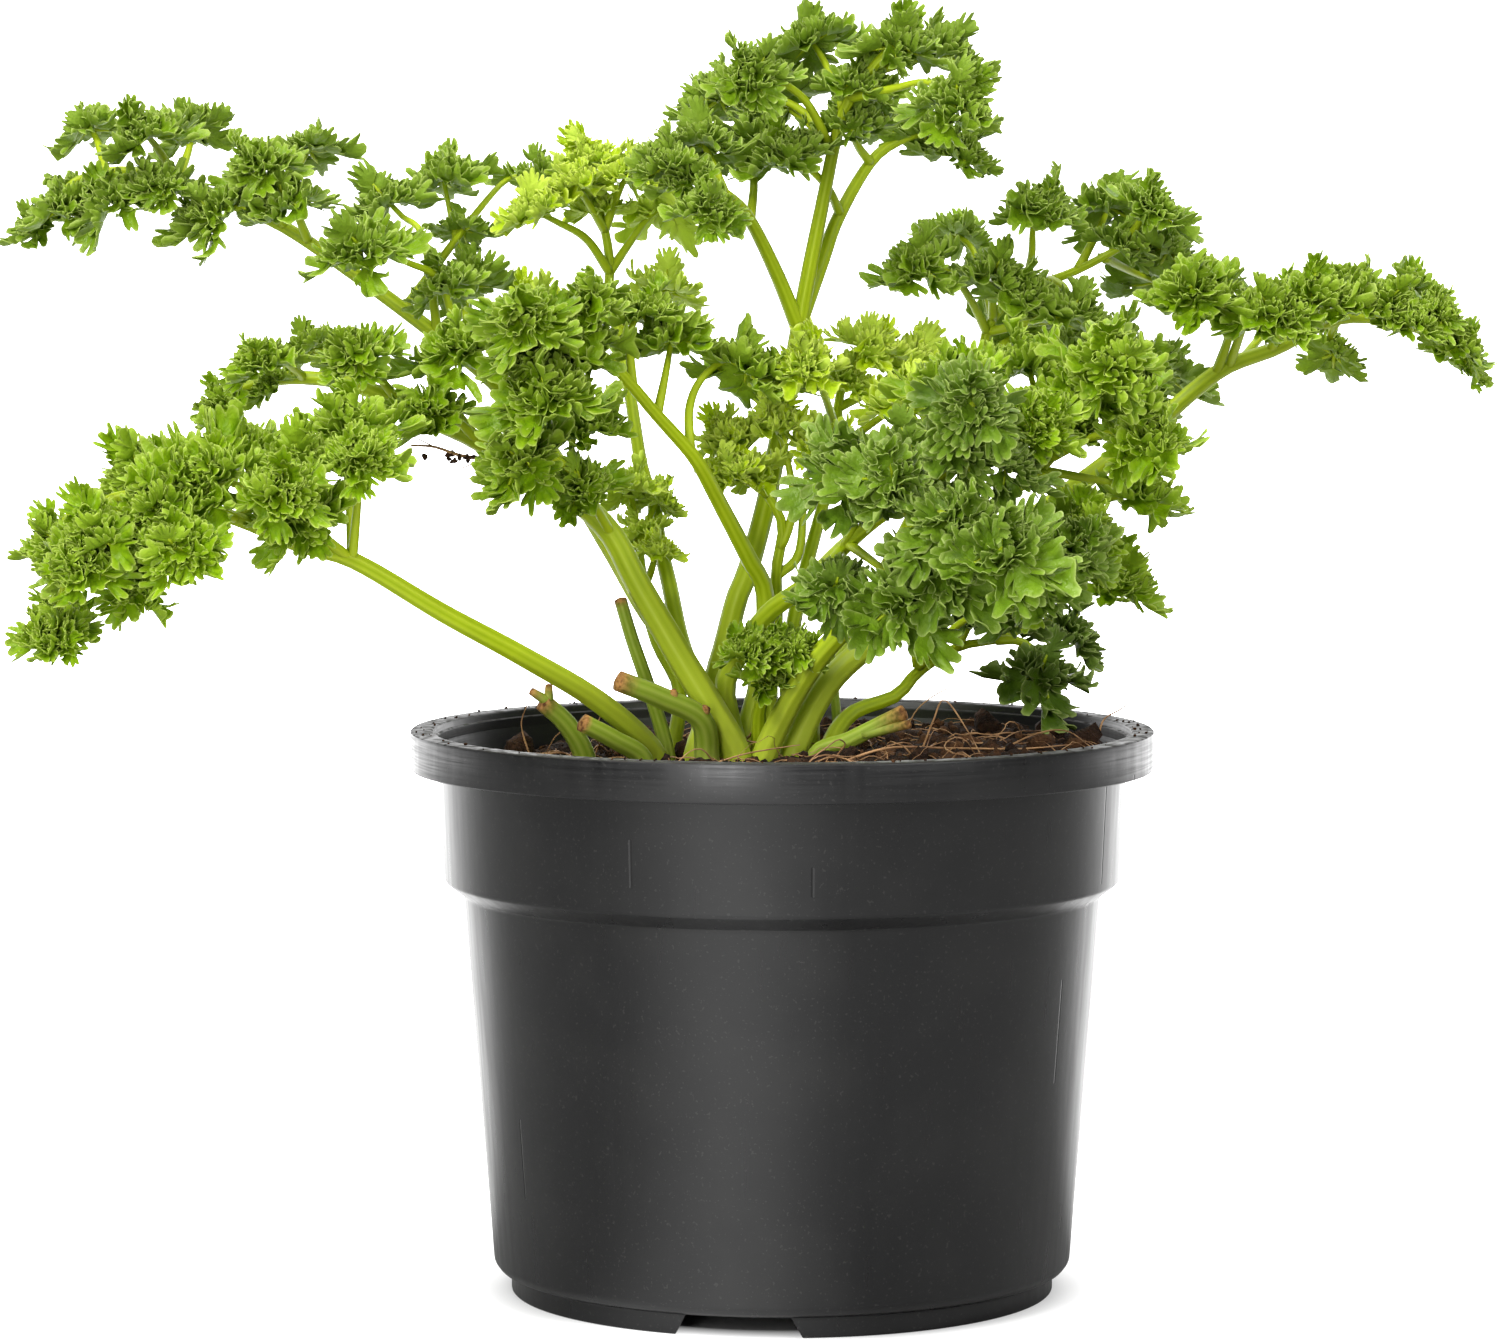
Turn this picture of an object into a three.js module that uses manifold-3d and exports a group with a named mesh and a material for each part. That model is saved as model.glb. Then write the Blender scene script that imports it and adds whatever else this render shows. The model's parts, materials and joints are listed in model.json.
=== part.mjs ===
// Potted curled-leaf parsley, in millimetres, +Z up.
//
// A round nursery pot is filled with peat. Fifteen fronds, five cut or torn stubs and a small shoot
// grow from one crown near the middle, each in a plain hole in the peat. A frond is a tapering stalk
// with side stalks. Every stalk ends in a leaf that is cut to the rib into toothed leaflets.

import * as THREE from "three";
import { mergeVertices } from "three/addons/utils/BufferGeometryUtils.js";
import Module from "manifold-3d";

const wasm = await Module();
wasm.setup();

// ---- driving dimensions ----

const GAP = 0.35; // air between pieces that touch
const SOCKET_GAP = 0.45; // air round a stalk in its hole
const SLIVER = 0.03; // faces narrower than this are closed up where solids were joined or cut
const AROUND = 32; // facets round the pot and the peat

const POT = {
  height: 98.7,
  rimRadius: 65,
  rimBand: 6.8, // height of the turned-down lip
  rimInner: 61.1, // where the flat top of the rim ends
  wall: 1.2,
  shoulderTop: 60.3, // outer radius just under the rim
  shoulderFoot: 59.1, // outer radius where the upper band ends
  shoulderHeight: 72.5,
  bodyTop: 55.7,
  bodyTopHeight: 69.9,
  bodyFoot: 50.6,
  bodyFootHeight: 5.4,
  floorTop: 4.8,
  footRadius: 47.6,
  footWall: 1.8,
  edge: 0.5, // the small bevels along the rim and the foot
};
const FOOT_GAPS = { count: 3, first: -99, top: 18, bottom: 23, reach: 8 }; // first in degrees
const DRAINS = { count: 5, radius: 4.5, circle: 33, sides: 8 }; // and one more in the middle

const SOIL = { level: 94.2, radius: 58, rightRise: 2.2, leftFall: 2.4, lumps: 0.8, edgeFall: 1.2 };
const SOIL_WALL = 8; // height of the peat's straight edge
const SOIL_RINGS = [0.9, 0.66, 0.42, 0.2]; // of the radius, from the edge to the middle
const CROWN_DEPTH = 9; // how far a stalk goes down into the peat

const STALK_SIDES = 5;
const SIDE_STALK_GROWTH = 1.5; // how much stouter a side stalk is at its root than at the leaf
const STALK_TIP = 0.6; // radius
const BLADE = 1; // thickness of a leaf
const FOOT_WIDTH = 1.5; // of a leaf, where its stalk enters
const FOOT_SHARE = 0.16; // of the route, from the leaf's foot to its first leaflets
const LONG_PINNA = 28; // a side stalk this long carries two pairs of leaflets
const PAIRS = { long: [0.45, 0.75], short: [0.55], tip: [0.35] }; // where they spring, as shares

// ---- the plant, as routes of points ----
// x runs to the right and -y to the front, with the pot's axis at 0, 0. thick is a stalk's radius
// where it leaves the peat. leaf and tipLeaf are the lengths of one leaflet.
const FRONDS = [
  {
    name: "frond_left_low",
    colour: "#6fae35",
    thick: 2.1,
    tipLeaf: 9,
    stalk: [
      [-22, -12, 95], [-31, -22, 105], [-44, -33, 114], [-57, -42, 122], [-71, -49, 131],
      [-80, -53, 134], [-89, -55, 138], [-99, -56, 141], [-109, -56, 142], [-116, -55, 137],
      [-118, -54, 130], [-120, -53, 122],
    ],
    pinnae: [
      { leaf: 13, route: [[-71, -49, 131], [-72, -45, 140], [-73, -40, 149], [-72, -36, 157]] },
      { leaf: 13, route: [[-72, -50, 132], [-81, -62, 144], [-87, -68, 150], [-94, -73, 154]] },
      { leaf: 13, route: [[-81, -53, 134], [-87, -44, 141], [-90, -38, 151], [-91, -34, 153]] },
      { leaf: 12, route: [[-89, -55, 138], [-94, -70, 145], [-99, -76, 149]] },
      { leaf: 12, route: [[-99, -56, 141], [-105, -46, 149], [-111, -40, 152]] },
      { leaf: 11, route: [[-102, -56, 142], [-107, -68, 145], [-113, -74, 147]] },
      { leaf: 10, route: [[-107, -56, 142], [-106, -60, 135], [-107, -62, 129]] },
      { leaf: 10, route: [[-112, -56, 141], [-120, -48, 143], [-125, -44, 140]] },
    ],
  },
  {
    name: "frond_top_left",
    colour: "#3f7a2c",
    thick: 2.0,
    tipLeaf: 8,
    stalk: [
      [-15, -9, 95], [-13, -8, 103], [-18, -4, 112], [-24, 0, 120], [-30, 4, 130], [-39, 9, 144],
      [-49, 13, 157], [-61, 16, 167], [-76, 18, 178], [-88, 19, 186], [-97, 20, 190], [-106, 20, 194],
      [-116, 20, 196], [-123, 20, 195], [-128, 20, 192], [-132, 20, 187],
    ],
    pinnae: [
      { leaf: 12, route: [[-53, 14, 161], [-57, 9, 168], [-60, 4, 177], [-65, -2, 180], [-73, -7, 183]] },
      { leaf: 11, route: [[-59, 5, 174], [-63, 10, 184], [-67, 14, 188], [-70, 16, 191]] },
      { leaf: 12, route: [[-54, 14, 161], [-56, 22, 169], [-57, 27, 177], [-59, 31, 186], [-61, 34, 195]] },
      { leaf: 9, route: [[-57, 29, 181], [-54, 36, 190], [-49, 42, 195], [-44, 46, 195]] },
      { leaf: 11, route: [[-88, 19, 186], [-90, 12, 193], [-92, 6, 198]] },
      { leaf: 11, route: [[-90, 19, 187], [-88, 27, 194], [-85, 34, 200]] },
      { leaf: 10, route: [[-97, 20, 190], [-99, 11, 188], [-100, 6, 185]] },
      { leaf: 11, route: [[-106, 20, 194], [-110, 13, 200], [-112, 8, 203]] },
      { leaf: 10, route: [[-106, 20, 194], [-106, 28, 200], [-106, 34, 204]] },
      { leaf: 9, route: [[-119, 20, 196], [-122, 26, 201], [-124, 30, 204]] },
    ],
  },
  {
    name: "frond_left_mid",
    colour: "#4b8b2e",
    thick: 2.6,
    tipLeaf: 8,
    stalk: [
      [-8, -11, 95], [-12, -13, 103], [-18, -13, 113], [-25, -12, 125], [-30, -11, 134], [-38, -10, 141],
      [-49, -8, 147], [-54, -7, 150], [-61, -6, 153], [-67, -4, 156], [-75, -2, 159], [-84, 0, 160],
      [-92, 1, 159], [-98, 2, 156],
    ],
    pinnae: [
      { leaf: 12, route: [[-30, -11, 134], [-34, -22, 142], [-38, -30, 147], [-44, -36, 148]] },
      { leaf: 11, route: [[-31, -11, 135], [-35, -16, 143], [-36, -19, 149], [-34, -20, 153]] },
      { leaf: 12, route: [[-53, -7, 149], [-58, -9, 157], [-59, -10, 162], [-56, -10, 166]] },
      { leaf: 10, route: [[-67, -4, 156], [-71, -10, 162], [-74, -14, 165]] },
      { leaf: 10, route: [[-73, -3, 159], [-78, 6, 163], [-83, 12, 165]] },
      { leaf: 9, route: [[-82, 0, 160], [-86, -8, 163], [-90, -12, 164]] },
      { leaf: 10, route: [[-45, -9, 146], [-46, -1, 152], [-41, 3, 154]] },
    ],
  },
  {
    name: "frond_back_left",
    colour: "#8fbb2c",
    thick: 1.7,
    tipLeaf: 9,
    stalk: [
      [-14, -2, 95], [-15, 3, 105], [-18, 9, 114], [-20, 14, 123], [-22, 18, 131], [-23, 21, 138],
      [-25, 23, 143], [-27, 26, 155], [-29, 29, 166], [-31, 31, 174], [-31, 32, 180], [-32, 33, 186],
      [-34, 33, 193], [-35, 33, 198],
    ],
    pinnae: [
      { leaf: 10, route: [[-31, 32, 179], [-35, 27, 184], [-40, 22, 187], [-44, 18, 189]] },
      { leaf: 10, route: [[-31, 32, 179], [-27, 36, 184], [-24, 40, 188], [-21, 43, 190]] },
      { leaf: 10, route: [[-30, 29, 167], [-26, 33, 173], [-21, 37, 177], [-17, 40, 180]] },
      { leaf: 10, route: [[-29, 29, 165], [-36, 22, 170], [-44, 16, 172]] },
    ],
  },
  {
    name: "frond_centre",
    colour: "#3f8a2a",
    thick: 1.9,
    tipLeaf: 12,
    stalk: [
      [-7, 0, 95], [-4, 3, 107], [-3, 1, 122], [-6, -3, 129], [-11, -9, 139], [-14, -14, 145],
      [-16, -16, 148], [-22, -22, 155], [-26, -26, 160], [-31, -30, 165], [-37, -34, 167],
      [-42, -38, 167],
    ],
    pinnae: [
      { leaf: 12, route: [
        [-16, -16, 148], [-16, -12, 155], [-14, -8, 160], [-10, -5, 163], [-6, -3, 162],
      ] },
      { leaf: 11, route: [[-22, -22, 155], [-20, -17, 161], [-19, -13, 167]] },
      { leaf: 11, route: [[-26, -26, 160], [-26, -20, 168], [-24, -16, 172]] },
      { leaf: 13, route: [[-30, -29, 164], [-35, -38, 162], [-39, -42, 159]] },
      { leaf: 10, route: [[-31, -30, 165], [-32, -33, 169], [-33, -35, 174]] },
      { leaf: 11, route: [[-36, -33, 166], [-40, -40, 172], [-43, -44, 172]] },
    ],
  },
  {
    name: "frond_tall",
    colour: "#3f7d2b",
    thick: 2.2,
    tipLeaf: 11,
    stalk: [
      [-12, 3, 95], [-12, 7, 105], [-10, 7, 113], [-8, 6, 121], [-6, 7, 126], [-3, 9, 137],
      [-1, 11, 147], [1, 12, 157], [3, 13, 169], [5, 12, 180], [7, 11, 190], [9, 9, 200], [11, 7, 207],
      [15, 5, 213], [20, 3, 218],
    ],
    arms: [
      { thick: 1.4, tipLeaf: 10, route: [
        [3, 13, 169], [7, 17, 180], [10, 20, 188], [16, 23, 198], [22, 25, 202], [27, 27, 203],
        [32, 28, 200],
      ] },
      { thick: 1.4, tipLeaf: 10, route: [
        [3, 13, 168], [-1, 9, 178], [-6, 2, 188], [-10, -3, 192], [-15, -7, 195], [-21, -10, 198],
        [-25, -12, 199],
      ] },
    ],
    pinnae: [
      { leaf: 11, route: [[-6, 2, 188], [-5, 8, 193], [-5, 14, 198], [-3, 18, 201]] },
      { leaf: 11, route: [[-10, -3, 192], [-12, 2, 197], [-14, 6, 201]] },
      { leaf: 11, route: [[10, 20, 188], [8, 13, 193], [4, 8, 197], [1, 5, 199]] },
      { leaf: 10, route: [[16, 23, 198], [13, 16, 201], [12, 10, 205]] },
      { leaf: 11, route: [[9, 9, 200], [5, 14, 204], [1, 19, 207], [-2, 23, 209]] },
      { leaf: 11, route: [[9, 9, 200], [4, 0, 208], [-2, -7, 212], [-5, -11, 213]] },
      { leaf: 11, route: [[11, 7, 207], [8, 14, 214], [5, 19, 219]] },
      { leaf: 12, route: [[13, 6, 209], [19, -2, 210], [25, -8, 211], [30, -12, 208]] },
      { leaf: 11, route: [[15, 5, 213], [22, 10, 215], [28, 14, 217]] },
    ],
  },
  {
    name: "frond_centre_small",
    colour: "#6da32a",
    thick: 1.5,
    tipLeaf: 9,
    stalk: [
      [-2, 4, 95], [-2, 8, 107], [-1, 9, 117], [-1, 7, 126], [0, 6, 134], [-3, 5, 140], [-7, 4, 146],
      [-10, 3, 150],
    ],
    pinnae: [
      { leaf: 9, route: [[-1, 7, 125], [3, 9, 129], [4, 9, 141], [7, 6, 148]] },
      { leaf: 7, route: [[-3, 5, 140], [-6, 0, 142], [-9, -3, 144]] },
    ],
  },
  {
    name: "frond_back_right",
    colour: "#86b52c",
    thick: 1.7,
    tipLeaf: 10,
    stalk: [
      [2, 0, 95], [1, 8, 107], [2, 12, 116], [4, 15, 125], [7, 18, 136], [9, 21, 144], [10, 22, 150],
      [10, 22, 155], [12, 22, 161], [16, 22, 165],
    ],
    pinnae: [
      { leaf: 11, route: [[10, 21, 147], [14, 18, 150], [18, 14, 153], [22, 10, 156]] },
      { leaf: 11, route: [[10, 22, 155], [16, 26, 157], [20, 28, 160], [24, 28, 162]] },
      { leaf: 9, route: [[9, 21, 144], [14, 26, 145], [20, 29, 146]] },
    ],
  },
  {
    name: "frond_upper_right",
    colour: "#3d8029",
    thick: 1.6,
    tipLeaf: 10,
    stalk: [
      [5, 4, 95], [6, 9, 104], [14, 18, 114], [17, 24, 122], [25, 33, 137], [32, 40, 151], [36, 44, 162],
      [38, 45, 169], [43, 45, 174], [53, 45, 178], [59, 45, 181], [65, 45, 184], [70, 45, 182],
    ],
    pinnae: [
      { leaf: 11, route: [[36, 45, 166], [34, 38, 173], [30, 32, 178], [24, 27, 180]] },
      { leaf: 11, route: [[38, 45, 170], [37, 52, 176], [35, 56, 182], [32, 58, 185]] },
      { leaf: 11, route: [[43, 45, 174], [45, 38, 181], [45, 33, 186], [46, 30, 190]] },
      { leaf: 10, route: [[47, 45, 175], [48, 53, 173], [49, 57, 171]] },
      { leaf: 11, route: [[53, 45, 178], [58, 51, 186], [60, 55, 190]] },
      { leaf: 10, route: [[59, 45, 181], [64, 53, 178], [69, 57, 176]] },
      { leaf: 12, route: [[35, 43, 160], [41, 52, 165], [48, 58, 168], [56, 61, 167]] },
      { leaf: 12, route: [[36, 44, 162], [49, 50, 164], [60, 54, 164], [71, 58, 159]] },
    ],
  },
  {
    name: "frond_far_right",
    colour: "#437f30",
    thick: 2.5,
    tipLeaf: 7,
    stalk: [
      [2, -6, 95], [9, -3, 108], [23, 1, 119], [34, 4, 128], [45, 6, 136], [56, 8, 144], [66, 9, 152],
      [77, 10, 161], [87, 10, 165], [97, 10, 170], [106, 10, 170], [113, 10, 168], [117, 10, 165],
      [119, 10, 160],
    ],
    pinnae: [
      { leaf: 12, route: [[77, 10, 161], [78, 3, 168], [76, -3, 173], [71, -8, 176]] },
      { leaf: 11, route: [[80, 10, 162], [84, 17, 166], [88, 23, 170], [91, 27, 173]] },
      { leaf: 10, route: [[97, 10, 170], [97, 17, 164], [98, 20, 160]] },
      { leaf: 11, route: [[95, 10, 169], [94, 2, 175], [92, -4, 178]] },
      { leaf: 10, route: [[98, 10, 170], [100, 18, 175], [102, 24, 178]] },
      { leaf: 9, route: [[107, 10, 170], [105, 3, 175], [105, -2, 177]] },
      { leaf: 9, route: [[108, 10, 170], [111, 16, 175], [112, 21, 178]] },
      { leaf: 8, route: [[113, 10, 168], [114, 3, 173], [114, 0, 175]] },
    ],
  },
  {
    name: "frond_right_big",
    colour: "#6fae2f",
    thick: 2.2,
    tipLeaf: 11,
    stalk: [
      [-3, -10, 95], [6, -15, 112], [19, -21, 125], [31, -25, 135], [44, -29, 146], [47, -30, 151],
      [50, -31, 156], [53, -32, 160],
    ],
    pinnae: [
      { leaf: 12, route: [[44, -29, 146], [38, -34, 152], [34, -37, 157], [29, -39, 161]] },
      { leaf: 12, route: [[45, -29, 147], [44, -22, 153], [43, -17, 159], [42, -14, 163]] },
      { leaf: 12, route: [[45, -29, 148], [52, -36, 151], [57, -40, 152], [61, -42, 151]] },
      { leaf: 12, route: [[43, -29, 146], [48, -38, 142], [51, -43, 140], [50, -46, 136]] },
      { leaf: 10, route: [[47, -30, 151], [55, -18, 152], [61, -12, 156]] },
      { leaf: 11, route: [[44, -29, 146], [55, -24, 143], [61, -21, 141]] },
      { leaf: 11, route: [[49, -31, 154], [53, -43, 162], [55, -47, 164]] },
      { leaf: 12, route: [[37, -27, 140], [43, -20, 132], [50, -16, 129], [57, -12, 126]] },
      { leaf: 10, route: [[40, -24, 137], [39, -30, 130], [40, -32, 126]] },
    ],
  },
  {
    name: "frond_right_front",
    colour: "#35702f",
    thick: 2.0,
    tipLeaf: 12,
    stalk: [
      [-8, -5, 95], [-10, -4, 106], [-7, -6, 113], [-2, -11, 120], [4, -19, 125], [10, -32, 132],
      [16, -46, 138], [23, -57, 143], [28, -64, 148], [30, -67, 153], [31, -69, 158],
    ],
    pinnae: [
      { leaf: 13, route: [[10, -32, 132], [12, -42, 137], [11, -50, 143], [11, -55, 147]] },
      { leaf: 13, route: [[11, -35, 133], [15, -50, 131], [18, -57, 129], [20, -62, 126]] },
      { leaf: 13, route: [[19, -52, 140], [27, -64, 138], [31, -70, 136], [36, -73, 135]] },
      { leaf: 10, route: [[10, -32, 132], [8, -42, 130], [9, -46, 127]] },
      { leaf: 11, route: [[28, -64, 148], [33, -60, 149], [37, -58, 148]] },
    ],
  },
  {
    name: "frond_right_low",
    colour: "#2f6a26",
    thick: 1.7,
    tipLeaf: 0,
    stalk: [[8, -4, 95], [12, 2, 101], [20, 5, 104], [24, 8, 108], [31, 12, 112], [38, 15, 113]],
    arms: [
      { thick: 1.0, tipLeaf: 0, route: [[24, 7, 109], [23, 8, 114], [23, 8, 116]] },
    ],
    pinnae: [
      { leaf: 10, route: [[24, 7, 109], [28, 2, 114], [32, -3, 118], [39, -6, 121]] },
      { leaf: 14, route: [[38, 15, 113], [42, 14, 111], [45, 12, 107], [46, 11, 103]] },
      { leaf: 10, route: [[38, 15, 113], [46, 20, 115], [52, 23, 112]] },
    ],
  },
  {
    name: "frond_young",
    colour: "#5d9c22",
    thick: 1.6,
    tipLeaf: 8,
    stalk: [[-4, -5, 95], [-4, -8, 102], [-3, -11, 106], [-2, -12, 110], [-1, -13, 114]],
    pinnae: [
      { leaf: 7, route: [[-3, -11, 107], [-4, -14, 110], [-6, -16, 114]] },
      { leaf: 7, route: [[-2, -12, 109], [0, -13, 111], [3, -14, 114]] },
    ],
  },
  {
    name: "frond_small_left",
    colour: "#7fa63a",
    thick: 1.4,
    tipLeaf: 8,
    stalk: [
      [-19, 2, 95], [-18, 4, 105], [-22, 6, 113], [-24, 8, 120], [-25, 10, 128], [-26, 12, 135],
      [-27, 13, 140],
    ],
    pinnae: [
      { leaf: 6, route: [[-25, 9, 123], [-23, 5, 126], [-22, 3, 130]] },
    ],
  },
];
const STUBS = [
  {
    name: "stub_torn",
    colour: "#b9b878",
    thick: 1.9,
    thin: 1.6,
    stalk: [[-34, -16, 95], [-37, -18, 101], [-41, -20, 105]],
    arms: [
      { thick: 1.0, route: [[-40, -20, 105], [-43, -21, 107]] },
      { thick: 0.9, route: [[-40, -20, 105], [-40, -20, 108]] },
    ],
  },
  {
    name: "stub_cut",
    colour: "#9db34c",
    thick: 1.8,
    thin: 1.6,
    stalk: [[-24, -19, 95], [-29, -23, 99], [-34, -26, 102]],
  },
  {
    name: "stub_brown",
    colour: "#8fa84a",
    thick: 2.1,
    thin: 1.8,
    stalk: [[-13, -15, 95], [-14, -18, 102], [-21, -21, 106], [-28, -24, 109]],
    arms: [
      { thick: 1.3, route: [[-18, -20, 104], [-19, -21, 107]] },
      { thick: 1.2, route: [[-14, -18, 102], [-13, -19, 104]] },
    ],
  },
  {
    name: "stub_upright",
    colour: "#6f9a35",
    thick: 1.3,
    thin: 1.1,
    stalk: [[-20, -6, 95], [-23, -8, 106], [-26, -9, 115], [-28, -10, 122]],
  },
  {
    name: "stub_sheath",
    colour: "#c9c98a",
    thick: 1.7,
    thin: 1.3,
    stalk: [[6, -11, 95], [12, -13, 98], [21, -16, 103]],
    arms: [
      { thick: 1.1, route: [[14, -14, 99], [22, -17, 101]] },
    ],
  },
  {
    name: "shoot_small",
    colour: "#9bb85a",
    thick: 0.9,
    thin: 0.7,
    stalk: [[10, 6, 95], [9, 6, 107], [8, 7, 116], [8, 7, 120]],
    arms: [
      { thick: 0.8, route: [[8, 7, 115], [11, 7, 119]] },
    ],
  },
];

// ---- small tools ----

function seeded(seed) {
  let state = seed >>> 0;
  return () => {
    state = (Math.imul(state, 1664525) + 1013904223) >>> 0;
    return state / 4294967296;
  };
}

const vec = ([x, y, z]) => new THREE.Vector3(x, y, z);
const radians = THREE.MathUtils.degToRad;

// A closed surface as a solid. Faces that shrink to nothing on an axis are dropped.
function solidOf(geometry) {
  const bare = new THREE.BufferGeometry();
  bare.setAttribute("position", geometry.getAttribute("position"));
  bare.setIndex(geometry.index);
  const merged = mergeVertices(bare, 1e-4);
  const kept = [];
  for (let i = 0; i < merged.index.count; i += 3) {
    const [a, b, c] = [0, 1, 2].map((k) => merged.index.getX(i + k));
    if (a !== b && b !== c && c !== a) kept.push(a, b, c);
  }
  return new wasm.Manifold(
    new wasm.Mesh({
      numProp: 3,
      vertProperties: merged.attributes.position.array,
      triVerts: new Uint32Array(kept),
    }),
  );
}

function solidFrom(points, faces) {
  const geometry = new THREE.BufferGeometry().setFromPoints(points);
  geometry.setIndex(faces.flat());
  return solidOf(geometry);
}

function geometryOf(solid) {
  const mesh = solid.getMesh();
  const geometry = new THREE.BufferGeometry();
  geometry.setAttribute("position", new THREE.BufferAttribute(mesh.vertProperties, 3));
  geometry.setIndex(new THREE.BufferAttribute(mesh.triVerts, 1));
  geometry.computeVertexNormals();
  return geometry;
}

// Several solids as one. The joins leave slivers too narrow to see, which are closed up.
const union = (solids) => wasm.Manifold.union(solids).simplify(SLIVER);

// The solid that a profile of [radius, height] points makes round the Z axis.
function turned(profile) {
  const points = profile.map(([r, z]) => new THREE.Vector2(r, z));
  return solidOf(new THREE.LatheGeometry(points, AROUND).rotateX(Math.PI / 2));
}

// The largest body of a solid: loose scraps are left out.
function largest(solid) {
  return solid.decompose().sort((a, b) => b.volume() - a.volume())[0];
}

// ---- pot ----

// The inside of the pot as [radius, height] points, from the floor up, drawn in by a clearance.
function innerWall(clearance) {
  const inset = POT.wall + clearance;
  return [
    [POT.bodyFoot - inset, POT.floorTop + clearance],
    [POT.bodyTop - inset, POT.bodyTopHeight - POT.edge],
    [POT.shoulderFoot - inset, POT.shoulderHeight - POT.edge],
    [POT.shoulderTop - inset, POT.height - POT.rimBand],
  ];
}

function potProfile() {
  const rimUnder = POT.height - POT.wall;
  const lipInner = POT.rimRadius - POT.wall;
  const footUnder = POT.floorTop - POT.wall;
  return [
    [0, footUnder],
    [POT.footRadius - POT.footWall, footUnder],
    [POT.footRadius - POT.footWall, 0],
    [POT.footRadius, 0],
    [POT.footRadius, footUnder],
    [POT.bodyFoot - 2 * POT.edge, footUnder + POT.edge],
    [POT.bodyFoot, POT.bodyFootHeight],
    [POT.bodyTop, POT.bodyTopHeight],
    [POT.shoulderFoot, POT.shoulderHeight],
    [POT.shoulderTop, rimUnder],
    [lipInner, rimUnder],
    [lipInner, POT.height - POT.rimBand],
    [POT.rimRadius, POT.height - POT.rimBand],
    [POT.rimRadius, POT.height - POT.edge],
    [POT.rimRadius - POT.edge, POT.height],
    [POT.rimInner, POT.height],
    [POT.rimInner - POT.edge, POT.height - POT.edge],
    ...innerWall(0).reverse(),
    [0, POT.floorTop],
  ];
}

// A wedge that opens the foot ring, wider at the ground than above.
function footGap(turn) {
  const outline = new THREE.Shape([
    new THREE.Vector2(-FOOT_GAPS.bottom / 2, -1),
    new THREE.Vector2(FOOT_GAPS.bottom / 2, -1),
    new THREE.Vector2(FOOT_GAPS.top / 2, POT.floorTop - POT.wall),
    new THREE.Vector2(-FOOT_GAPS.top / 2, POT.floorTop - POT.wall),
  ]);
  const depth = 1.5 * FOOT_GAPS.reach;
  const wedge = new THREE.ExtrudeGeometry(outline, { depth, bevelEnabled: false });
  wedge.rotateX(Math.PI / 2).translate(0, POT.footRadius + FOOT_GAPS.reach / 2, 0);
  return solidOf(indexed(wedge.rotateZ(radians(turn - 90))));
}

// A geometry without an index, given one that takes its corners in order.
function indexed(geometry) {
  const corners = Array.from({ length: geometry.getAttribute("position").count }, (_, i) => i);
  return geometry.setIndex(corners);
}

function drain(x, y) {
  const bore = new THREE.CylinderGeometry(DRAINS.radius, DRAINS.radius, 2 * POT.floorTop, DRAINS.sides);
  return solidOf(bore.rotateX(Math.PI / 2).translate(x, y, POT.floorTop));
}

function makePot() {
  const cuts = [drain(0, 0)];
  for (let i = 0; i < FOOT_GAPS.count; i += 1)
    cuts.push(footGap(FOOT_GAPS.first + (360 / FOOT_GAPS.count) * i));
  for (let i = 0; i < DRAINS.count; i += 1) {
    const a = (2 * Math.PI * i) / DRAINS.count;
    cuts.push(drain(DRAINS.circle * Math.cos(a), DRAINS.circle * Math.sin(a)));
  }
  return turned(potProfile()).subtract(union(cuts));
}

// ---- peat ----

// Height of the peat at a point: higher to the right, lower to the left, and lumpy.
function soilHeight(x, y) {
  const tilt = ((x > 0 ? SOIL.rightRise : SOIL.leftFall) * x) / SOIL.radius;
  const lumps = Math.sin(x * 0.31 + 1.3) * Math.cos(y * 0.27) + 0.7 * Math.sin(x * 0.13 - y * 0.41);
  const edge = SOIL.edgeFall * (Math.hypot(x, y) / SOIL.radius) ** 6;
  return SOIL.level + tilt + SOIL.lumps * lumps - edge;
}

// Inner radius of the pot's upper band at a height.
function bandRadius(z) {
  const flare = (POT.shoulderTop - POT.shoulderFoot) / (POT.height - POT.rimBand - POT.shoulderHeight);
  return POT.shoulderFoot - POT.wall + flare * (z - POT.shoulderHeight);
}

function makeSoil() {
  const lowest = SOIL.level - SOIL_WALL;
  const wall = [...innerWall(2 * GAP).slice(0, -1), [bandRadius(lowest) - GAP, lowest]];
  const edgeRadius = wall.at(-1)[0];
  const rings = wall.map(([r, z]) => ({ r, z }));
  rings.push({ r: edgeRadius });
  SOIL_RINGS.forEach((share) => rings.push({ r: share * edgeRadius }));
  const points = [new THREE.Vector3(0, 0, wall[0][1])];
  rings.forEach(({ r, z }) => {
    for (let i = 0; i < AROUND; i += 1) {
      const a = (2 * Math.PI * i) / AROUND;
      const [x, y] = [r * Math.sin(a), -r * Math.cos(a)];
      points.push(new THREE.Vector3(x, y, z ?? soilHeight(x, y)));
    }
  });
  points.push(new THREE.Vector3(0, 0, soilHeight(0, 0)));
  const at = (ring, i) => 1 + ring * AROUND + (i % AROUND);
  const last = points.length - 1;
  const faces = [];
  for (let i = 0; i < AROUND; i += 1) {
    faces.push([0, at(0, i + 1), at(0, i)]);
    faces.push([last, at(rings.length - 1, i), at(rings.length - 1, i + 1)]);
    for (let ring = 0; ring + 1 < rings.length; ring += 1) {
      faces.push([at(ring, i), at(ring, i + 1), at(ring + 1, i + 1)]);
      faces.push([at(ring, i), at(ring + 1, i + 1), at(ring + 1, i)]);
    }
  }
  return solidFrom(points, faces);
}

// ---- stalks ----

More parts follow.
